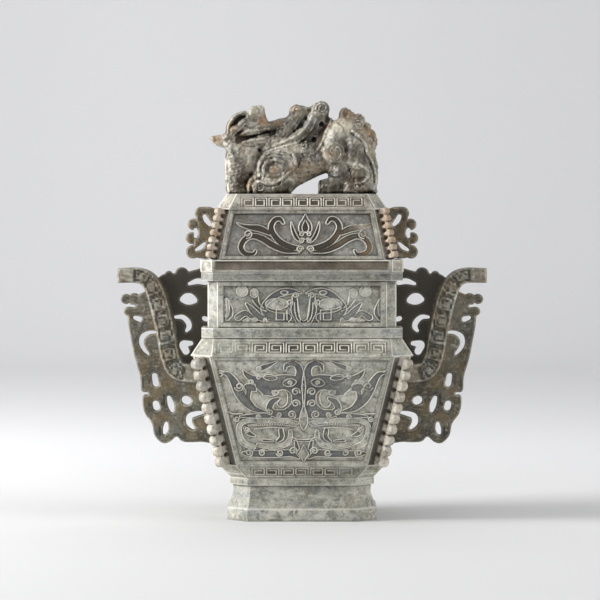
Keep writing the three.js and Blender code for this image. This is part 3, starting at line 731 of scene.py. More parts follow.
# Two dragons beak to beak over a mask with great eyes. Bodies are bands of (u, v, half width) from the
# panel's middle and foot, and scrolls are (u, v, radius).
BELLY_MOTIF = {
    "bodies": [
        [(4, 66, 3), (3, 72, 2.8), (5, 76.5, 2.4), (9, 78, 2), (13, 76.5, 1.6), (14, 73, 1)],
        [(45, 73, 0.5), (42, 69, 2), (36, 65.5, 3), (29, 63.5, 4.5), (20, 63, 6), (11, 64, 5.5), (3, 64, 3.5)],
        [(33, 61, 3), (28, 57, 3.2), (23, 55, 2), (19.5, 56, 1)],
        [(30.5, 54, 0.5), (27, 55, 1.4)],
        [(5.5, 60, 4), (5, 52, 4.2), (5, 44, 4.2), (5.5, 39.5, 4)],
        [(8, 54, 1), (9.5, 57.5, 2), (14, 59.5, 1)],
        [(8, 48, 1), (9.5, 44, 2.2), (14, 42, 1)],
        [(19, 51, 1.4), (23.5, 48.5, 2.4), (25.5, 43.5, 2.6), (22, 40, 3), (14, 39.5, 3.4), (6, 39.5, 3.6)],
        [(61, 71, 0.6), (56, 69.5, 2), (52, 64, 3), (48.5, 57, 3.8), (44, 49.5, 3.4), (37, 43.5, 2.4), (28, 41, 0.8)],
        [(42, 60, 2.6), (38.5, 59.5, 2.8), (36, 57.5, 1)],
        [(41, 57, 2.2), (41, 51, 1.6), (37, 45.5, 1)],
        [(47, 37.5, 1), (36, 38, 1.8), (26, 38, 2)],
        [(34, 74, 1.2), (30, 75, 2), (25, 77, 1.4), (19.5, 80, 0.4)],
        [(41, 30.5, 0.6), (30, 31.5, 0.9), (15, 31.5, 0.9), (6, 30, 0.6)],
        [(44, 28.5, 1.2), (41, 24.5, 1.8), (36.5, 22.5, 0.8)],
        [(17, 27, 1.8), (16.5, 21.5, 1.9), (20, 18, 1)],
        [(30, 19, 1.2), (23, 18.5, 0.8)],
        [(45, 9, 1.4), (38, 8.5, 2.6), (22, 8.5, 2.9), (10, 9, 2.6), (4, 5.5, 1)],
        [(6, 18.5, 1.2), (5, 13, 1.8)],
    ],
    "frames": [
        [(5, 32.5, 1.4), (12, 34, 1.5), (28, 34.5, 1.6), (43, 34, 1.8), (48, 30, 2), (48, 23, 2.2),
         (44.5, 16.5, 2.2), (37.5, 13.8, 1.8)],
        [(10, 26, 1.4), (10.5, 20, 1.9), (15, 15.5, 2.2), (25, 14.2, 2.2), (34, 15.5, 1.6)],
    ],
    "threads": [
        lens(10.5, 63.5, 5.2, 3, -0.15),
        lens(25, 67.3, 5.4, 2.1, 0.1),
        [(19, 57.5), (15, 58), (12.5, 55.5), (12, 50), (13.5, 46), (17.5, 44.5), (20, 47), (18.5, 50)],
        [(37, 27.5), (25, 29), (14, 28.5)],
        [(55, 47.5), (58, 46), (57.5, 42), (53, 39.5), (46, 39.5)],
        [(0, 70), (1.2, 62), (0.8, 53), (0, 46)],
        [(0, 46), (2.5, 39), (3, 33), (1.5, 28.5), (0, 27)],
        [(0, 19.5), (5, 20), (9.5, 21.5)],
        [(0, 18), (5, 18.5), (9.5, 20)],
    ],
    "straight": [
        [(0, 15.5), (4, 8.5), (0, 2.5)],
    ],
    "scrolls": [
        (62, 70, 2.5), (48, 60.5, 3.2), (39.5, 64, 1.8), (33.5, 67.5, 1.6), (33.5, 74, 1.6), (21, 56, 2.2),
        (6, 56.5, 2.8), (6, 47.5, 2.8), (25, 41, 2.2), (18.5, 39, 1.8), (9, 39, 2.8), (34, 37, 1.8), (50, 35.5, 2),
        (41, 9.5, 2.6), (31, 9.5, 2.4), (18, 9.5, 2.4), (8, 11, 2.8), (42.5, 27.5, 1.8), (10.5, 63.5, 1.6),
    ],
}

# Two birds' heads, beak to beak, with a pale cloud in the bend of each neck.
NECK_MOTIF = {
    "bodies": [
        [(2, 26, 0.6), (8, 27.5, 1.8), (14.5, 27, 2.8), (21, 24.5, 2.6), (26.5, 20.5, 2), (30, 15.5, 2),
         (27.5, 11, 2.8), (20, 8.5, 3), (12, 8, 3)],
        [(7, 25, 1.6), (6.5, 19, 2.2), (6.5, 13, 3), (4.5, 6, 2)],
        [(42.5, 18, 1), (38, 13, 2.4), (32.5, 8, 2.6), (23, 6, 1.6), (12, 5, 1)],
        [(49, 8, 2.6), (43.5, 11, 2.2), (38, 7.5, 1.6)],
        [(57, 21, 1), (55, 12, 2.4), (57, 7, 1.6)],
    ],
    "plates": [
        (20, 18, 8.5, 4.2), (46, 27.5, 4.3, 4), (37, 26, 3, 3.4), (58, 15, 2.6, 7), (40, 5.5, 5, 1.6),
    ],
    "threads": [
        lens(14.5, 26.5, 2.8, 1.4),
        [(38.5, 21), (33.5, 15), (28, 12.5)],
        [(34, 23.5), (33, 18.5), (30, 15)],
        [(7, 19), (6.5, 12), (4.5, 6), (0, 3)],
        [(4.5, 19), (4, 12), (2.5, 7), (0, 5)],
    ],
    "straight": [
        [(12.5 + x, 6 + y) for x, y in meander(8, 7.5, 2.2)],
    ],
    "scrolls": [(6, 24.5, 2), (10.5, 19, 2.2), (36.5, 6, 1.7), (28.5, 5.5, 1.6), (42.5, 6, 1.4)],
}

# A bud between petals, with long leaves that scroll out to both sides.
LID_MOTIF = {
    "bodies": [
        [(3, 9, 1.4), (10, 9.5, 2.4), (18, 13, 2.6), (23.5, 19, 2.4), (25.5, 25, 2.2), (23, 30, 2), (19, 31, 1.8),
         (16.5, 28, 1.2)],
        [(5, 6, 1), (15, 7, 2), (24, 11, 2.6), (32, 16, 2.6), (39.5, 18, 2.2), (45.5, 15, 2.2), (48, 9.5, 2.2),
         (45, 5, 2), (39, 4.5, 1.4), (37, 7, 1)],
        [(27, 20.5, 2), (34, 23.5, 2.6), (41, 24.5, 2), (47, 26, 1.2), (51, 28, 0.4)],
        [(10.5, 28.5, 0.4), (9.5, 23.5, 1.2), (7, 17.5, 1.5), (3.5, 13.5, 1)],
        [(0, 29.5, 0.6), (0, 24.5, 2.6), (0, 22, 1.6)],
    ],
    "threads": [
        [(0, 35), (2, 31), (4.5, 27), (4.8, 22.5), (2.5, 20), (0, 21)],
    ],
    "scrolls": [(43, 19.5, 3), (2.5, 19.5, 1.8), (2.5, 14.5, 1.9), (4, 8, 2.4)],
}


def belly_face(sheet, half, length):
    """The belly's mask, a little worn on its right side."""
    patch = blotch(7, 44)

    def wear(u, v):
        return np.clip(1.3 - 0.5 * patch(u, v) - 0.25 * np.clip(u / 30, 0, 1), 0.45, 1)

    return panel(sheet, half, length, BELLY_MOTIF, wear=wear, shift=1.3)


def neck_face(sheet, half, length):
    """The neck's birds, rubbed smooth towards both ends."""
    patch = blotch(11, 60)

    def wear(u, v):
        return np.clip(1.5 - 0.5 * patch(u, v) - 0.009 * np.abs(u), 0.4, 1)

    return panel(sheet, half, length, NECK_MOTIF, margin=4.2, wear=wear, ground_blue=0.3, shift=1.3)


def slope_face(sheet, half, length):
    """The lid's leaves, worn away towards the upper right."""
    patch = blotch(5, 40)

    def wear(u, v):
        return np.clip(1.1 - 1.1 * patch(u, v) * np.clip((u - 16) / 18, 0, 1), 0.2, 1)

    return panel(sheet, half, length, LID_MOTIF, wear=wear, ground_blue=0.6, body_brown=1.0, shift=2.5)


def plain_panel(sheet, half, length):
    return panel(sheet, half, length)


def sunk_band(sheet, half, length):
    """The lid's rim: a long sunk strip, dark with old dirt."""
    u, v = sheet.u, sheet.v
    inside = np.minimum(np.minimum(half - 2.2 - np.abs(u), v - 1.6), length - 1.2 - v)
    field = ramp(-inside, 0.6)
    patch = blotch(51, 22)(u, v)
    tone = -(0.25 + 0.4 * patch) * field - 0.4 * np.exp(-((inside / 0.7) ** 2))
    return -1.1 * field, tone, 0.25 * field, 0.5 * field


def fret_course(cells_front, cells_side, pitch, seed, size, strength, fade_left, fade_right):
    """A fret carver for one course, worn in patches and faded from those distances to both sides."""
    patch = blotch(seed, size)

    def kept(u, v):
        left = np.clip((-u - fade_left) / 16, 0, 0.75)
        right = np.clip((u - fade_right) / 16, 0, 0.6)
        return np.clip(strength - 0.7 * patch(u, v) - left - right, 0.1, 1)

    def carve(sheet, half, length):
        cells = cells_front if sheet.u.shape[1] > 2 * sheet.u.shape[0] and np.min(half) > 36 else cells_side
        return frets(sheet, half, length, cells, pitch, kept)

    return carve


def all_round(name, foot, top, carve, plain, fine, coarse, material):
    """One course's four broad faces: the front finest, the back a little coarser, the sides plainer."""
    for turn, side, step in ((0, "front", fine), (1, "right", coarse), (2, "back", 1.8 * fine), (3, "left", coarse)):
        shape = carve if turn % 2 == 0 else plain
        carved_face(f"{name}_{side}", foot, top, turn, step, shape, material)


# The vessel

def vessel():
    """The core of the vessel, course by course, open from the lip down to its floor."""
    recess = shrink(PLINTH_FOOT, FOOT_RING)
    lap = 0.5
    band_mid = between(TORUS_TOP, FOOT_BAND_TOP, FLOOR_LEVEL)
    plug_foot = shrink(PLINTH_FOOT, FOOT_RING - 1, FOOT_RECESS)
    inner_plinth = [octagon(recess), octagon((PLINTH_TOP[0], *recess[1:]))]
    return [
        (hoop([octagon(PLINTH_FOOT), octagon(PLINTH_TOP)], inner_plinth), 0.05, 0.1),
        (skin(octagon(plug_foot), octagon((PLINTH_TOP[0] + lap, *plug_foot[1:]))), 0, 0),
        (skin(octagon(SPLAY_FOOT), octagon(WAIST_FOOT), octagon(WAIST_TOP)), -0.05, 0.15),
        (skin(octagon(TORUS_FOOT), octagon(TORUS_TOP)), -0.1, 0),
        (skin(inset_octagon(TORUS_TOP, INSET), inset_octagon(band_mid, INSET)), 0, 0),
        (core_hoop(band_mid, FOOT_BAND_TOP), 0, 0),
        # The belly's cut corners are darker: darker stone, and painted shade from the flanges beside them.
        (core_hoop(BELLY_FOOT, BELLY_TOP), -0.7, 0.1),
        (core_hoop(SHOULDER_FOOT, SHOULDER_TOP), -0.2, 0),
        (plain_hoop(COLLAR_FOOT, COLLAR_TOP), -0.05, 0.25),
        (core_hoop(NECK_FOOT, NECK_TOP), -0.25, 0),
        (plain_hoop(LIP_FOOT, LIP_TOP), -0.3, 0.35),
    ]


body = stone_piece("vase_body", vessel(), vase_stone)
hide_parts("vase")

foot_frets = fret_course(7, 4, 2.0, 41, 30, 0.95, 36, 34)
shoulder_frets = fret_course(10, 6, 2.1, 21, 36, 1.45, 30, 32)
cap_frets = fret_course(9, 5, 1.9, 31, 32, 1.45, 34, 44)
all_round("foot_band", TORUS_TOP, FOOT_BAND_TOP, foot_frets, foot_frets, 0.4, 0.8, vase_stone)
all_round("belly", BELLY_FOOT, BELLY_TOP, belly_face, plain_panel, 0.4, 1.4, vase_stone)
all_round("shoulder", SHOULDER_FOOT, SHOULDER_TOP, shoulder_frets, shoulder_frets, 0.38, 0.8,
          vase_stone)
all_round("neck", NECK_FOOT, NECK_TOP, neck_face, plain_panel, 0.4, 1.4, vase_stone)


# The lid

def cover():
    """The core of the lid: its tenon, rim and slope are open inside, up to the roof."""
    hole = shrink(TENON_FOOT, TENON_WALL)
    lap = 0.4

    def at(z, course):
        return (z, *course[1:])

    tenon = [octagon(TENON_FOOT), octagon(at(RIM_FOOT[0] + lap, TENON_FOOT))]
    return [
        (hoop(tenon, [octagon(hole), octagon(at(RIM_FOOT[0] + lap, hole))]), 0, 0),
        (core_hoop(RIM_FOOT, RIM_TOP, at(RIM_FOOT[0], hole), at(RIM_TOP[0], hole)), 0.05, 0),
        (core_hoop(SLOPE_FOOT, SLOPE_TOP, at(SLOPE_FOOT[0], hole), LID_ROOF), -0.15, 0),
        (skin(inset_octagon(CAP_FOOT, INSET), inset_octagon(CAP_TOP, INSET)), -0.05, 0),
    ]


lid_body = stone_piece("lid_body", cover(), lid_stone)
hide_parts("lid")
all_round("lid_rim", RIM_FOOT, RIM_TOP, sunk_band, sunk_band, 0.7, 1.0, lid_stone)
all_round("lid_slope", SLOPE_FOOT, SLOPE_TOP, slope_face, plain_panel, 0.4, 1.2, lid_stone)
all_round("lid_cap", CAP_FOOT, CAP_TOP, cap_frets, cap_frets, 0.38, 0.8, lid_stone)


# Flanges

def flange(length, reach, thick, lobes, stained, step):
    """A flat flange with a lobed edge, a groove behind its lobes and drilled pits at its root: X along it,
    Z out."""
    radius = length / lobes / 2
    root = -3.0
    carving = Carving((-1.5, -thick / 2 - 1.5, root - 1), (length + 1.5, thick / 2 + 1.5, reach + 1.5), step)
    x, z = carving.side.u, carving.side.v
    strip = np.maximum(np.abs(x - length / 2) - length / 2, np.maximum(z - (reach - 0.9 * radius), root - z))
    nearest = (np.clip(np.floor(x / (2 * radius)), 0, lobes - 1) + 0.5) * 2 * radius
    lobed = np.minimum(strip, np.hypot(x - nearest, z - (reach - radius)) - radius)
    carving.slab(lobed, thick / 2, 1.1, 0.0)
    joint = np.clip(np.rint(x / (2 * radius)), 1, lobes - 1) * 2 * radius
    behind = reach - 1.5 * radius
    pits = np.hypot((x - joint) / 1.4, (z - (behind - 2.2)) / 2.0) - 1
    split = ramp(np.abs(x - joint) - 0.2, 0.7) * ramp(behind - z, 1.0)
    groove = np.maximum(split, ramp(np.abs(z - behind) - 0.2, 0.7))
    carving.raise_by(-1.7 * ramp(pits, 0.8) - 0.5 * groove, thick / 2 - 2.2)
    points, faces = carving.mesh()
    pit = carving.read(ramp(pits - 0.1, 1.0), points)
    # Painted highlight: the flat strip behind the lobes is made paler, and darker in the groove; the pits are dark and
    # brown.
    painted_strip_highlight = carving.read(ramp(z - behind, 1.0) * ramp(behind - 3.6 - z, 1.0) - 0.9 * groove, points)
    return points, faces, stained + (1 - stained) * pit, 0.45 * painted_strip_highlight * (1 - pit) - 0.8 * pit


def place_flanges(name, foot, top, reach, thick, lobes, stained, step, material):
    """The four corner flanges of a course, standing out diagonally from its cut corners."""
    sets, quads, browns, tones, start = [], [], [], [], 0
    for sx, sy in ((1, 1), (1, -1), (-1, 1), (-1, -1)):
        ends = [np.array([sx * (w - c / 2), sy * (d - c / 2), z]) for z, w, d, c in (foot, top)]
        along = ends[1] - ends[0]
        length = np.linalg.norm(along)
        along /= length
        out = np.array([sx, sy, 0.0]) / math.sqrt(2)
        out -= along * (out @ along)
        out /= np.linalg.norm(out)
        points, faces, brown, tone = flange(length, reach, thick, lobes, stained, step)
        side = np.cross(out, along)
        sets.append(ends[0] + points[:, :1] * along + points[:, 1:2] * side + points[:, 2:] * out)
        quads.append(faces + start)
        browns.append(brown)
        tones.append(tone)
        start += len(points)
    attributes = {"brown": np.concatenate(browns), "tone": np.concatenate(tones)}
    return make(name, np.vstack(sets), np.vstack(quads), material, attributes)


place_flanges("vase_flanges", BELLY_FOOT, BELLY_TOP, 10.4, 6.4, 10, 0.1, 0.8, flange_stone)
place_flanges("lid_flanges", SLOPE_FOOT, SLOPE_TOP, 8.6, 4.8, 7, 0.75, 0.7, flange_stone)


# Handles and side ornaments. Outlines are (x, z) on the right side, lobes (x, z, radius), and holes are
# bands of (x, z, half width).

HANDLE_EDGE = [
    (66, 188), (93, 186), (107, 185), (117, 174), (128, 168), (133, 158), (133, 148), (131, 136), (128, 121),
    (124, 107), (123, 96), (118, 95), (118, 93), (122, 92), (121, 80), (115, 71), (113, 62), (107, 56),
    (101, 57), (96, 61), (91, 57), (78, 57), (66, 60), (72, 100), (76, 125), (67, 145),
]
HANDLE_LOBES = [
    (80.5, 184.5, 4.2), (92, 185.5, 5.2), (102, 185, 3), (128.5, 166.5, 4.4), (134.8, 166.4, 3.9), (133, 157, 3.4),
]
HANDLE_HOLES = [
    [(74, 179, 2), (80, 180, 2.2), (86.5, 178, 1.2)],
    [(82.5, 165.5, 2.4), (87, 166.5, 4.5), (91.5, 166, 2.2)],
    [(97, 152.5, 1.2), (91.5, 152.5, 1.9), (87.5, 149, 2.2), (86.5, 145, 2), (88.5, 142, 1.2)],
    [(73.5, 151, 2), (75, 151.5, 1.8)],
    [(85, 132.5, 1.8), (91, 131.5, 2.9), (89, 126.5, 2.9)],
    [(124.5, 151, 2.2), (128, 152, 1.6)],
    [(112.5, 141, 1.2), (117.5, 140.5, 1.5), (122, 137.5, 2), (123, 132.5, 1.9), (121, 128, 1.7), (118, 124.5, 1.2)],
    [(113, 107.5, 2.2), (112, 101.5, 2.5)],
    [(111.5, 83.5, 2.7), (112, 86, 2.6)],
    [(102, 90.5, 1.8), (100.5, 85.5, 2.6), (99.5, 81, 1.7)],
    [(88, 88.5, 3.3), (89, 89, 3.3)],
    [(75.5, 79.5, 1.2), (81, 78.5, 2), (86, 76.5, 2.2), (86.5, 71.5, 2.4), (83.5, 67.5, 1.4)],
    [(104, 71, 1.4), (104.5, 67, 2.2), (105.5, 63.5, 1.3)],
    [(128.5, 161, 1.1), (139, 162, 1.1)],
]
BAR_LINE = [
    (70, 110), (88, 110), (96.5, 113.5), (101, 124), (103.5, 138), (107, 154), (111, 169), (116.5, 180),
    (125, 184.4), (141, 184.4),
]
PLATE_HALF = 4.5
BAR_HALF_DEPTH = 9.5


def pierced_plan(plan, edge, lobes, holes, smooth):
    """Distance to a plate's plan: its smooth edge with lobes on it, less its holes."""
    outline = plan.polygon(spline(edge, smooth, closed=True))
    for x, z, r in lobes:
        outline = np.minimum(outline, np.hypot(plan.u - x, plan.v - z) - r)
    for hole in holes:
        outline = np.maximum(outline, -plan.band(hole, 8, 6))
    return outline


def bar_belt(plan):
    """How far along the bent bar each point lies, how far across, and the bar's half width there."""
    line = spline(BAR_LINE, 14)
    gaps = np.hypot(plan.u[..., None] - line[:, 0], plan.v[..., None] - line[:, 1])
    nearest = gaps.argmin(-1)
    direction = np.gradient(line, axis=0)
    direction /= np.linalg.norm(direction, axis=1)[:, None]
    run = np.concatenate([[0], np.cumsum(np.linalg.norm(np.diff(line, axis=0), axis=1))])
    dx, dz = plan.u - line[nearest, 0], plan.v - line[nearest, 1]
    along = run[nearest] + dx * direction[nearest, 0] + dz * direction[nearest, 1]
    across = dz * direction[nearest, 0] - dx * direction[nearest, 1]
    half = np.interp(along / run[-1], [0, 0.7, 0.85, 1], [7.0, 7.0, 5.8, 5.6])
    return along, across, half, run[-1]


def handle(step):
    """The right handle: a pierced plate, and a bent bar through it with key-fret on its faces."""
    carving = Carving((64, -12, 53), (143, 12, 194), step)
    plan = carving.side
    pierced = pierced_plan(plan, HANDLE_EDGE, HANDLE_LOBES, HANDLE_HOLES, 4)
    carving.slab(pierced, PLATE_HALF, 1.7)
    along, across, half, total = bar_belt(plan)
    bar = np.maximum(np.abs(across) - half, np.maximum(along - total, -along))
    belt = Sheet(along, across)
    groove = np.full(plan.u.shape, 9.0)
    cell, start, side_gap = 13.0, 20.0, 2.2
    while start + cell < total:
        middle = np.abs(along - start - cell / 2) < 1
        wide = 2 * float(half[middle].mean()) - 2 * side_gap
        square = [(start + x + 1.3, y - wide / 2) for x, y in meander(cell - 2.6, wide, 2.5)]
        groove = np.minimum(groove, belt.line(square))
        groove = np.minimum(groove, belt.line([(start, -wide / 2), (start, wide / 2)]))
        start += cell
    carving.slab(bar, BAR_HALF_DEPTH, 1.6, 0.8)
    on_bar = ramp(bar + 1.2, 0.6)
    cut = ramp(groove - 0.5, 0.7) * on_bar
    plate_line = ramp(np.abs(pierced + 2.1) - 0.3, 0.7) * (bar > 1.5)
    carving.raise_by(-0.6 * cut - 0.45 * plate_line, PLATE_HALF - 1.6)
    points, faces = carving.mesh()
    broad = np.abs(points[:, 1]) > PLATE_HALF - 2
    patch = blotch(61, 24)(plan.u, plan.v)
    shade = -1.0 * cut - 0.6 * plate_line + 0.45 * ramp(np.abs(bar + 0.9) - 0.3, 0.6) + 0.2 * on_bar * (1 - cut)
    shade += 0.35 * patch * ramp(np.abs(pierced + 0.7) - 0.4, 0.8) * (bar > 1.5)
    # Painted shade: the plate is darkened between the bar and the neck, above the bar's bend. Random patches off the
    # bar are darker too.
    inner = ramp(half + 1 - across, 3.0) * ramp(108 - plan.v, 6.0)
    shade -= (1.1 * inner + 0.45 * (1 - patch)) * (bar > 0)
    drawn = carving.read(np.clip(shade, -1, 1), points)
    return points, faces, np.where(broad, drawn, 0.6 * np.minimum(drawn, 0)), carving.read(0.7 * patch, points)


def both_sides(name, made, material):
    """A right-hand carving and its mirror image, each a piece of its own."""
    points, faces, tone, brown = made
    attributes = {"tone": tone, "brown": brown}
    make(name + "_right", points, faces, material, attributes)
    make(name + "_left", points * (-1, 1, 1), faces[:, ::-1], material, attributes)


both_sides("handle", handle(0.8), handle_stone)

ORNAMENT_EDGE = [
    (60, 232), (68, 236), (72, 237), (78, 236), (81, 228), (82, 216), (83, 203), (80, 198), (70, 199), (62, 214),
]
ORNAMENT_LOBES = [(77, 232, 5), (83, 223.5, 4.5), (84.5, 213, 4.5), (83.5, 202.5, 5.2)]
ORNAMENT_HOLES = [
    [(74.5, 229.5, 1.7), (73, 226.5, 2), (70.5, 223.5, 1.5)],
    [(81.5, 219.5, 1.4), (81, 217, 1.8), (81.5, 214.5, 1.5)],
    [(81, 204, 1.1), (77.5, 206, 1.6), (74.5, 209, 1)],
]


def ornament(step):
    """The right side ornament: a small pierced plate with four round lobes."""
    carving = Carving((58, -7, 194), (91, 7, 241), step)
    pierced = pierced_plan(carving.side, ORNAMENT_EDGE, ORNAMENT_LOBES, ORNAMENT_HOLES, 4)
    carving.slab(pierced, 4.0, 2.2)
    line = 0.35 * ramp(np.abs(pierced + 1.9) - 0.25, 0.5)
    carving.raise_by(-line, 2)
    points, faces = carving.mesh()
    patch = blotch(67, 9)(carving.side.u, carving.side.v)
    shade = carving.read(0.45 * ramp(np.abs(pierced + 0.8) - 0.4, 0.8) - 1.6 * line - 0.5 * (1 - patch), points)
    return points, faces, shade, carving.read(0.4 + 0.6 * patch, points)


both_sides("lid_ornament", ornament(0.75), handle_stone)


# The beast, its head turned back over its shoulder. All is in millimetres: x from the lid's middle and z
# above the cap. Masses are (half depth, rounding, outline) or, with a third value, bands (x, z, radius).

BEAST_MASSES = {
    "web": (6, 3, [
        (-54, 0), (-57, 12), (-57, 30), (-57, 44), (-54, 54), (-48, 61), (-40, 63), (-34, 67), (-30, 66),
        (-27, 58), (-23, 54), (-19, 57.5), (-12, 59), (-8, 64), (-1, 68), (5, 66.5), (10, 69), (18, 69),
        (20, 60), (25, 56), (34, 56), (46, 50), (50, 38), (50, 20), (20, 18), (14, 15), (4, 11), (-5, 5), (-9, 0),
    ]),
    "breast": (16, 9, [
        (-55, 0), (-58, 8), (-58.5, 17), (-58.5, 25), (-57, 34), (-46, 38), (-36, 36), (-31, 29), (-33, 20),
        (-38, 14), (-41, 8), (-41, 0),
    ]),
    "cheek": (15, 7, [(-52, 37, 7), (-47, 34, 7), (-38, 34, 4.5)]),
    "ear": (10, 4, [(-57, 41, 5.5), (-62, 41, 4.5), (-66, 42, 2.8), (-69, 43, 1)]),
    "snout": (12.5, 4.5, [
        (-47, 45), (-44, 54), (-40, 61), (-37.5, 66), (-33, 68), (-29, 66), (-28, 60), (-25, 53), (-23.5, 49),
        (-30, 46.5), (-39, 44.5),
    ]),
    "jaw": (11.5, 4.5, [
        (-47, 38), (-41, 43), (-33, 45), (-26, 47), (-24.5, 43), (-27, 38), (-32, 34), (-40, 32),
    ]),
    "mane fill": (9, 3, [(-14, 42), (-4, 50), (2, 56), (5, 62), (4, 66), (0, 65), (-4, 60), (-10, 52), (-18, 45)]),
    "throat fill": (11, 3, [(-34, 30), (-28, 38), (-25, 44), (-20, 46), (-14, 44), (-22, 36), (-30, 28)]),
    "horn": (13, 2.2, [(-56.5, 46, 2), (-55.5, 53, 2), (-51, 59, 2), (-45, 61.5, 1.8), (-39, 61, 1.6)]),
    "brow": (15, 4, [(-57, 43.5, 3.4), (-51.5, 48.5, 3), (-46, 53, 2.8), (-41.5, 57.5, 2.6), (-38, 62.5, 3)]),
    "socket": (6, 2, [(-52, 53, 4), (-48, 56, 4.4), (-43, 59, 2.6)]),
    "nostril": (14, 2.4, [(-37, 63.5, 3.2), (-36, 63.5, 3)]),
    "trunk": (17, 9, [
        (-41, 0), (-41, 9), (-37, 20), (-33, 30), (-26, 36), (-12, 40), (0, 41), (9, 42), (16, 48), (22, 55),
        (30, 57), (42, 54), (50, 46), (54, 36), (50, 22), (30, 18), (18, 16), (6, 11), (-6, 5), (-9, 0),
    ]),
    "haunch": (21, 10, [
        (12, 0), (12, 10), (16, 13), (20, 16), (19, 22), (14, 31), (16, 44), (20, 52), (27, 57), (37, 57),
        (46, 52), (52, 43), (56, 30), (58, 16), (57, 6), (53, 0),
    ]),
    "thigh": (24.5, 11, [(41, 38, 10), (42.5, 29, 13), (44, 19, 10)]),
    "hip boss": (24.5, 3.6, [(24, 31.5, 8.6), (24.5, 31.5, 8.6)]),
    "hock": (24.5, 4.5, [(36, 5, 4.6), (43, 5.5, 5.2), (50, 7, 4.8)]),
    "shoulder": (21, 5, [(-22.5, 21, 11.5), (-17, 22, 11.5), (-11, 23, 8.5)]),
    "foreleg": (22, 6, [(-9, 11, 5.2), (-17, 7.5, 5.8), (-26, 5, 5.6), (-33, 5.5, 6.4), (-36.5, 6, 5.4)]),
    "flank": (19, 8, [(0, 23, 6), (7, 24, 6)]),
    "nape": (10, 4, [(-25, 51, 3.6), (-18, 53, 4), (-11, 54, 4)]),
    "mane lock": (12, 4.5, [
        (-28, 34, 3.6), (-21, 39.5, 4.6), (-14.5, 46, 5), (-9.5, 52, 5), (-5, 57, 4.6), (-2, 62, 4.4),
        (-4.5, 64.5, 4), (-7, 63.5, 2.8),
    ]),
    "mane leaf": (10.5, 5, [
        (-6, 38), (0, 44), (6, 52), (7, 60), (8, 67), (13, 70.5), (18, 70.5), (21, 66), (20, 60), (18, 54),
        (15.5, 46), (12, 36), (8, 32), (2, 32),
    ]),
    "long lock": (14, 4, [
        (-31, 29, 2.6), (-22, 35, 3.6), (-11.5, 39.5, 4), (-3, 44, 4), (4, 50.5, 3.8), (8, 57.5, 3.6),
        (11.5, 63, 4.6), (14.5, 65, 5.4),
    ]),
    "blade": (10, 3, [(8, 31, 2.6), (12.5, 35, 2.8), (16.5, 43, 2.8), (19.5, 51.5, 2.4), (22, 57.5, 0.8)]),
    "tail": (11, 4, [(31, 57, 3.5), (37, 58, 3.5), (43, 54, 4), (48, 47, 4), (51, 40, 3.5), (52, 34, 2)]),
}
BEAST_TAIL = [
    (33, 61, 4.8), (37.5, 58, 4.4), (42.5, 55.5, 5.6), (47.5, 50.5, 4.8), (51.5, 45.5, 4.6), (53.5, 40, 4),
    (53, 35, 3.2), (45.5, 45, 4.4), (38, 51.5, 4),
]
BEAST_MOUTH = [(-48, 41.5, 2.8), (-45, 42.5, 1.8), (-41, 44, 0.8), (-34, 45.5, 0.6), (-24, 47.5, 0.9)]
BEAST_HOLES = [[(14.5, 53, 1.7), (15, 54, 1.5)], [(9, 41, 1.9), (9.5, 42, 1.7)]]
BEAST_BELLY = [
    (-9, 0.5), (-7.5, 2.5), (-2.5, 6.5), (4, 10), (14, 15), (18.5, 16.5), (20, 15), (20, 12.5), (16.5, 11.5),
    (13, 10.5), (12.5, 8), (12.5, 0.5),
]
BEAST_RIDGES = [
    [(-4.5, 22, 1), (-6, 29, 1.2), (-11.5, 33, 1.4), (-19, 34, 1.5), (-26, 31.5, 1.5), (-31, 26, 1.5),
     (-33, 19.5, 1.5), (-31.5, 14, 1.5), (-27, 10.5, 1.5), (-21, 10, 1.5), (-15.5, 12, 1.3), (-14, 16, 1)],
    [(-29, 15, 1), (-29, 20.5, 1.2), (-25, 25, 1.2), (-19, 26, 1.2), (-14, 24, 1)],
    [(-22, 18.5, 2.8), (-21, 18.5, 2.8)],
    [(-40, 0.5, 1), (-40.5, 8.5, 1.2), (-37.5, 13, 1.3), (-33, 13.5, 1.2)],
    [(-35.5, 0.5, 0.9), (-36, 6, 1), (-32.5, 9.5, 1.1), (-26, 8, 1.1), (-19, 8.5, 1), (-13.5, 13, 0.9), (-9, 17, 0.8)],
    [(-58.5, 26, 0.9), (-58, 17, 1), (-57.5, 9.5, 1), (-55, 2, 1)],
    [(38.5, 47.5, 0.9), (44.5, 43, 1), (48.5, 36.5, 1), (49.5, 31, 1), (53, 25, 1), (55.5, 17, 1), (56.5, 9.5, 1),
     (53.5, 1.5, 0.9)],
    [(44, 22, 1), (48.5, 18.5, 1.3), (49.5, 13, 1.3), (45, 9, 1.1), (41, 8.5, 0.9)],
    [(22.5, 57.5, 0.8), (18, 48, 0.9), (14.5, 38, 0.9), (9, 31, 0.9), (2, 29.5, 0.8)],
    [(-22, 36.5, 0.8), (-11, 41, 0.9), (-2, 46, 0.9), (4, 52.5, 0.9), (7.5, 59.5, 0.8)],
    [(-29, 31.5, 0.8), (-20, 35, 0.8), (-10, 37.5, 0.8), (-1, 41, 0.8), (6.5, 48, 0.8), (11, 56.5, 0.7)],
    [(-47, 45.5, 0.9), (-41.5, 48, 1), (-34.5, 48.5, 0.9), (-25, 49.5, 0.7)],
    [(-45, 40, 0.8), (-38, 41.5, 0.9), (-31, 42, 0.8), (-25.5, 44, 0.6)],
    [(-56.5, 47, 0.9), (-55.5, 53.5, 0.9), (-51, 59.5, 0.9), (-45, 62.5, 0.8)],
]
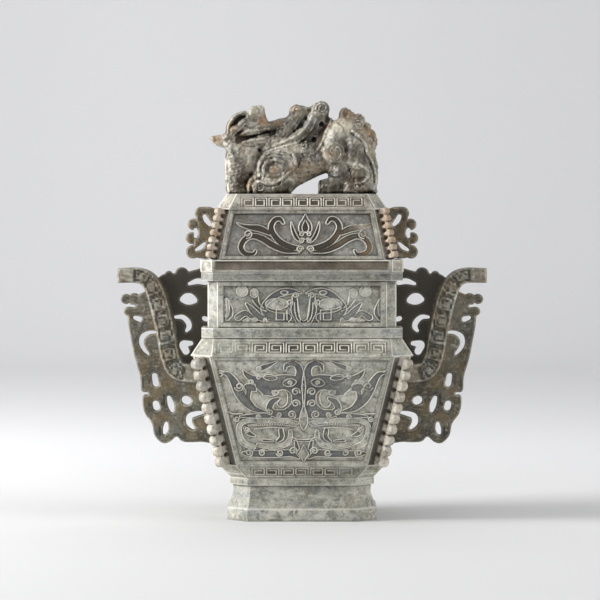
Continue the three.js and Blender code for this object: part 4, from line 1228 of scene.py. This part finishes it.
BEAST_CUTS = [
    [(-24, 41), (-17, 47), (-12, 53), (-8, 58), (-6, 61)],
    [(-15, 43), (-9, 48.5), (-4.5, 53.5), (-1, 59)],
    [(-28, 29), (-22, 30.5), (-14, 29.5)],
    [(37, 46), (43, 41), (46.5, 35), (48, 30), (51, 24), (53.5, 17), (54.5, 9)],
    [(-33, 1), (-34, 5), (-30, 7), (-23, 5.5), (-16, 9)],
    [(-38, 1), (-38.5, 7), (-36, 10.5)],
    [(14, 14), (14, 1)],
    [(20, 15), (27, 13), (34, 16), (38, 21)],
    [(35, 22), (37, 14), (34, 8), (29, 4)],
    [(-43, 52), (-38.5, 50.5), (-32, 53.5)],
    [(-40, 57.5), (-36, 56), (-30, 58.5)],
    [(-53, 45), (-48, 50), (-43, 55), (-40, 60)],
    [(-57, 36), (-53, 39.5), (-48, 38.5)],
    [(-45, 37), (-38, 36), (-31, 38.5)],
    [(27, 54), (31, 50.5), (32, 46)],
    [(-3, 20), (0, 28), (7, 30), (13, 26)],
]
BEAST_SCROLLS = [
    (-55, 30, 2.7, 1.2, 0.5, -1), (-31.5, 5.5, 3.8, 1.3, 2.5, 1), (15, 65.5, 4.6, 1.4, 3.5, -1),
    (-4.5, 64, 3.2, 1.3, 0, 1), (2, 37, 3.4, 1.3, 1, 1), (43, 52, 4, 1.3, 2, -1), (43, 6, 3.4, 1.2, 3, 1),
    (24, 32, 6.4, 0.8, -1.2, 1), (52, 41, 2.2, 1.1, 1, 1),
]
BEAST_RUSTY = [
    (-55, 51, 5), (-46, 42, 4.5), (-19, 54, 6), (-5, 65, 4.5), (18.5, 52, 4.5), (13, 40, 3.5), (4, 20, 7.5),
    (-21.5, 18.5, 4), (-66, 42, 5), (35, 60, 6), (52, 45, 7), (-45, 8, 8), (22, 32, 5), (-30, 56, 5),
    (38, 13, 6), (-10, 18, 4),
]
BEAST_SHADED = [
    (5, 41, 8), (-47, 56, 4.5), (-32, 22, 3.5), (18, 9, 7), (27, 9, 8), (36, 13, 6), (-20, 48, 6), (-23, 25, 5),
    (-27, 19, 4), (-31, 30, 5), (32, 37, 4), (29, 40, 4), (39, 33, 7), (-31, 4, 5), (-47, 20, 7), (-46, 10, 6),
    (-12, 54, 5), (10, 48, 6), (12, 40, 6), (48, 25, 5), (-14, 8, 6), (44, 7, 4), (-2, 27, 4),
]
THROAT_RIBS = 9


def beast(step):
    """The recumbent beast: rounded masses laid over one another, the same on both flanks, with ridges,
    scrolls and cut lines on them."""
    rows = math.ceil(28 / step)
    carving = Carving((-73, -rows * step, -1.2), (62, rows * step, DRAWN_HEIGHT - CAP_TOP[0] + 1.5), step)
    side = carving.side
    for thick, round_edge, points in BEAST_MASSES.values():
        if len(points[0]) == 3:
            outline = side.band(points, 10, 12)
        else:
            outline = side.polygon(spline(points, 4, closed=True))
        carving.slab(outline, thick, round_edge, 1.2)
    for i, (x, z, radius) in enumerate(BEAST_TAIL):
        carving.slab(np.hypot(side.u - x, side.v - z) - radius, 12.5 + i % 3, 0.75 * radius, 0.6)
    lift, tone = np.zeros(side.u.shape), np.zeros(side.u.shape)
    for points in BEAST_RIDGES:
        crest = side.band(points, 8)
        lift += 1.2 * ramp(crest, 1.8) - 0.35 * ramp(crest - 1.3, 1.2)
        tone += 0.6 * ramp(crest, 0.8) - 0.25 * ramp(crest - 1.2, 1.0)
    for points in BEAST_CUTS:
        line = side.line(spline(points, 6)) - 0.35
        lift -= 0.9 * ramp(line, 0.9)
        tone -= 0.75 * ramp(line, 0.9)
    for i in range(THROAT_RIBS):
        level = 26 - 2.7 * i
        rib = side.line(spline([(-53.5, level - 2), (-47, level), (-40 - 0.2 * i, level + 4)], 6)) - 0.3
        lift -= 0.55 * ramp(rib, 1.1)
        tone -= 0.35 * ramp(rib, 0.9)
    for x, z, radius, turns, begin, wind in BEAST_SCROLLS:
        around = side.line(spiral((x, z), radius, turns, begin, wind)) - 0.4
        lift += 0.9 * ramp(around, 0.9) - 0.5 * ramp(around - 0.9, 0.9)
        tone += 0.9 * ramp(around, 0.6) - 0.4 * ramp(around - 0.9, 0.9)
    for seed, size, rough in ((81, 7, 0.9), (83, 3.4, 0.5)):
        lift += rough * (blotch(seed, size)(side.u, side.v) - 0.5)
    local = np.random.default_rng(9)
    for x, z, radius in zip(*(local.uniform(low, high, 34) for low, high in ((-24, 8), (13, 31), (0.2, 0.8)))):
        pit = ramp(np.hypot(side.u - x, side.v - z) - radius, 0.8)
        lift -= 0.7 * pit
        tone -= 0.6 * pit
    carving.raise_by(lift, 5)
    carving.pierce(side.band(BEAST_MOUTH), 3.5)
    for hole in BEAST_HOLES:
        carving.pierce(side.band(hole), 3.0)
    carving.pierce(side.polygon(BEAST_BELLY))
    carving.field = np.maximum(carving.field, (-1.0 - carving.axes[2])[None, None, :])
    points, faces = carving.mesh()

    def spots(places):
        total = np.zeros(len(points))
        for x, z, radius in places:
            total += np.exp(-((points[:, 0] - x) ** 2 + (points[:, 2] - z) ** 2) / radius**2)
        return np.clip(total, 0, 1)

    shade = np.clip(carving.read(tone, points), -0.8, 0.9) * (np.abs(points[:, 1]) > 4)
    patch = blotch(71, 16)(points[:, 0], points[:, 2])
    # Painted shade: darker at the shaded spots, and on the web and the walls of the holes near the middle plane;
    # random patches of the stone are darker too.
    shade -= 0.65 * spots(BEAST_SHADED) + 0.35 * (np.abs(points[:, 1]) < 7) + 0.4 * np.clip(patch - 0.4, 0, 1)
    brown = 0.8 * spots(BEAST_RUSTY) + 0.25 * np.clip(0.6 - patch, 0, 1)
    points[:, 2] += CAP_TOP[0]
    make("lid_beast", points, faces, beast_stone, {"tone": shade, "brown": brown})


beast(0.78)


# The room: floor, light and camera

def backdrop():
    """A pale floor that curves up into a wall, its colour painted paler towards the back and a little darker to the
    right, as painted light and shade.
    """
    width, front, flat, bend, rise = 9.0, 3.2, 2.0, 0.9, 3.6
    profile = [(-front, 0.0)]
    for i in range(17):
        a = i / 16 * math.pi / 2
        profile.append((flat + bend * math.sin(a), bend * (1 - math.cos(a))))
    profile.append((flat + bend, rise))
    vertices = [(x, y, z) for x in (-width / 2, width / 2) for y, z in profile]
    n = len(profile)
    faces = [(i, n + i, n + i + 1, i + 1) for i in range(n - 1)]
    mesh = bpy.data.meshes.new("backdrop")
    mesh.from_pydata(vertices, [], faces)
    mesh.polygons.foreach_set("use_smooth", np.ones(n - 1, bool))
    piece = bpy.data.objects.new("backdrop", mesh)
    bpy.context.scene.collection.objects.link(piece)
    s = Shader("backdrop")
    split = s.tree.nodes.new("ShaderNodeSeparateXYZ")
    s.link(s.place, split.inputs[0])
    across = s.ramp(split.outputs["X"], -0.45, 0.45)
    away = s.ramp(split.outputs["Y"], -0.15, 0.75)
    far = s.mix(across, FAR_LEFT, FAR_RIGHT)
    s.link(s.mix(away, NEAR_FLOOR, far), s.principled.inputs["Base Color"])
    s.principled.inputs["Roughness"].default_value = 0.9
    s.principled.inputs["Specular IOR Level"].default_value = 0.1
    mesh.materials.append(s.material)


# Painted light and shade: the backdrop's colours, paler far away and darker to the right.
NEAR_FLOOR, FAR_LEFT, FAR_RIGHT = colour(209, 209, 209), colour(238, 238, 239), colour(230, 230, 231)
backdrop()


def softbox(name, place, aim, size, power, tint=(1, 1, 1)):
    data = bpy.data.lights.new(name, "AREA")
    data.shape = "RECTANGLE"
    data.size, data.size_y = size
    data.energy = power
    data.color = tint
    light = bpy.data.objects.new(name, data)
    light.location = place
    light.rotation_euler = (Vector(aim) - Vector(place)).to_track_quat("-Z", "Y").to_euler()
    bpy.context.scene.collection.objects.link(light)


MIDDLE = (0, 0, 0.16)
softbox("key", (-1.6, -0.3, 0.7), MIDDLE, (0.6, 0.8), 46)
softbox("fill", (1.6, -0.45, 0.6), MIDDLE, (0.8, 1.0), 16)
softbox("front", (0.1, -2.2, 1.2), MIDDLE, (1.2, 0.8), 9)
softbox("top", (-0.1, -0.1, 1.7), MIDDLE, (1.4, 1.0), 7)
softbox("wall", (0.1, 1.7, 2.9), (0.1, 2.9, 0.9), (3.6, 1.2), 30)

world = bpy.data.worlds.new("room")
bpy.context.scene.world = world
world.use_nodes = True
world.node_tree.nodes["Background"].inputs["Color"].default_value = (0.95, 0.97, 1, 1)
world.node_tree.nodes["Background"].inputs["Strength"].default_value = 0.15
bpy.context.scene.view_settings.view_transform = "Standard"

PHOTO_SIZE = 600
FOCAL_PIXELS = 2408
CAMERA_DISTANCE = 1843.8 * MM
CAMERA_HEIGHT = 217.66 * MM
AXIS_COLUMN, HORIZON_ROW = 302, 232
camera_data = bpy.data.cameras.new("camera")
camera_data.sensor_width = 36
camera_data.lens = 36 * FOCAL_PIXELS / PHOTO_SIZE
camera = bpy.data.objects.new("camera", camera_data)
camera.location = (0, -CAMERA_DISTANCE, CAMERA_HEIGHT)
pitch = math.atan((PHOTO_SIZE / 2 - HORIZON_ROW) / FOCAL_PIXELS)
yaw = math.atan((AXIS_COLUMN - PHOTO_SIZE / 2) / FOCAL_PIXELS)
camera.rotation_euler = (math.pi / 2 - pitch, 0, yaw)
bpy.context.scene.collection.objects.link(camera)
bpy.context.scene.camera = camera

bpy.context.view_layer.update()
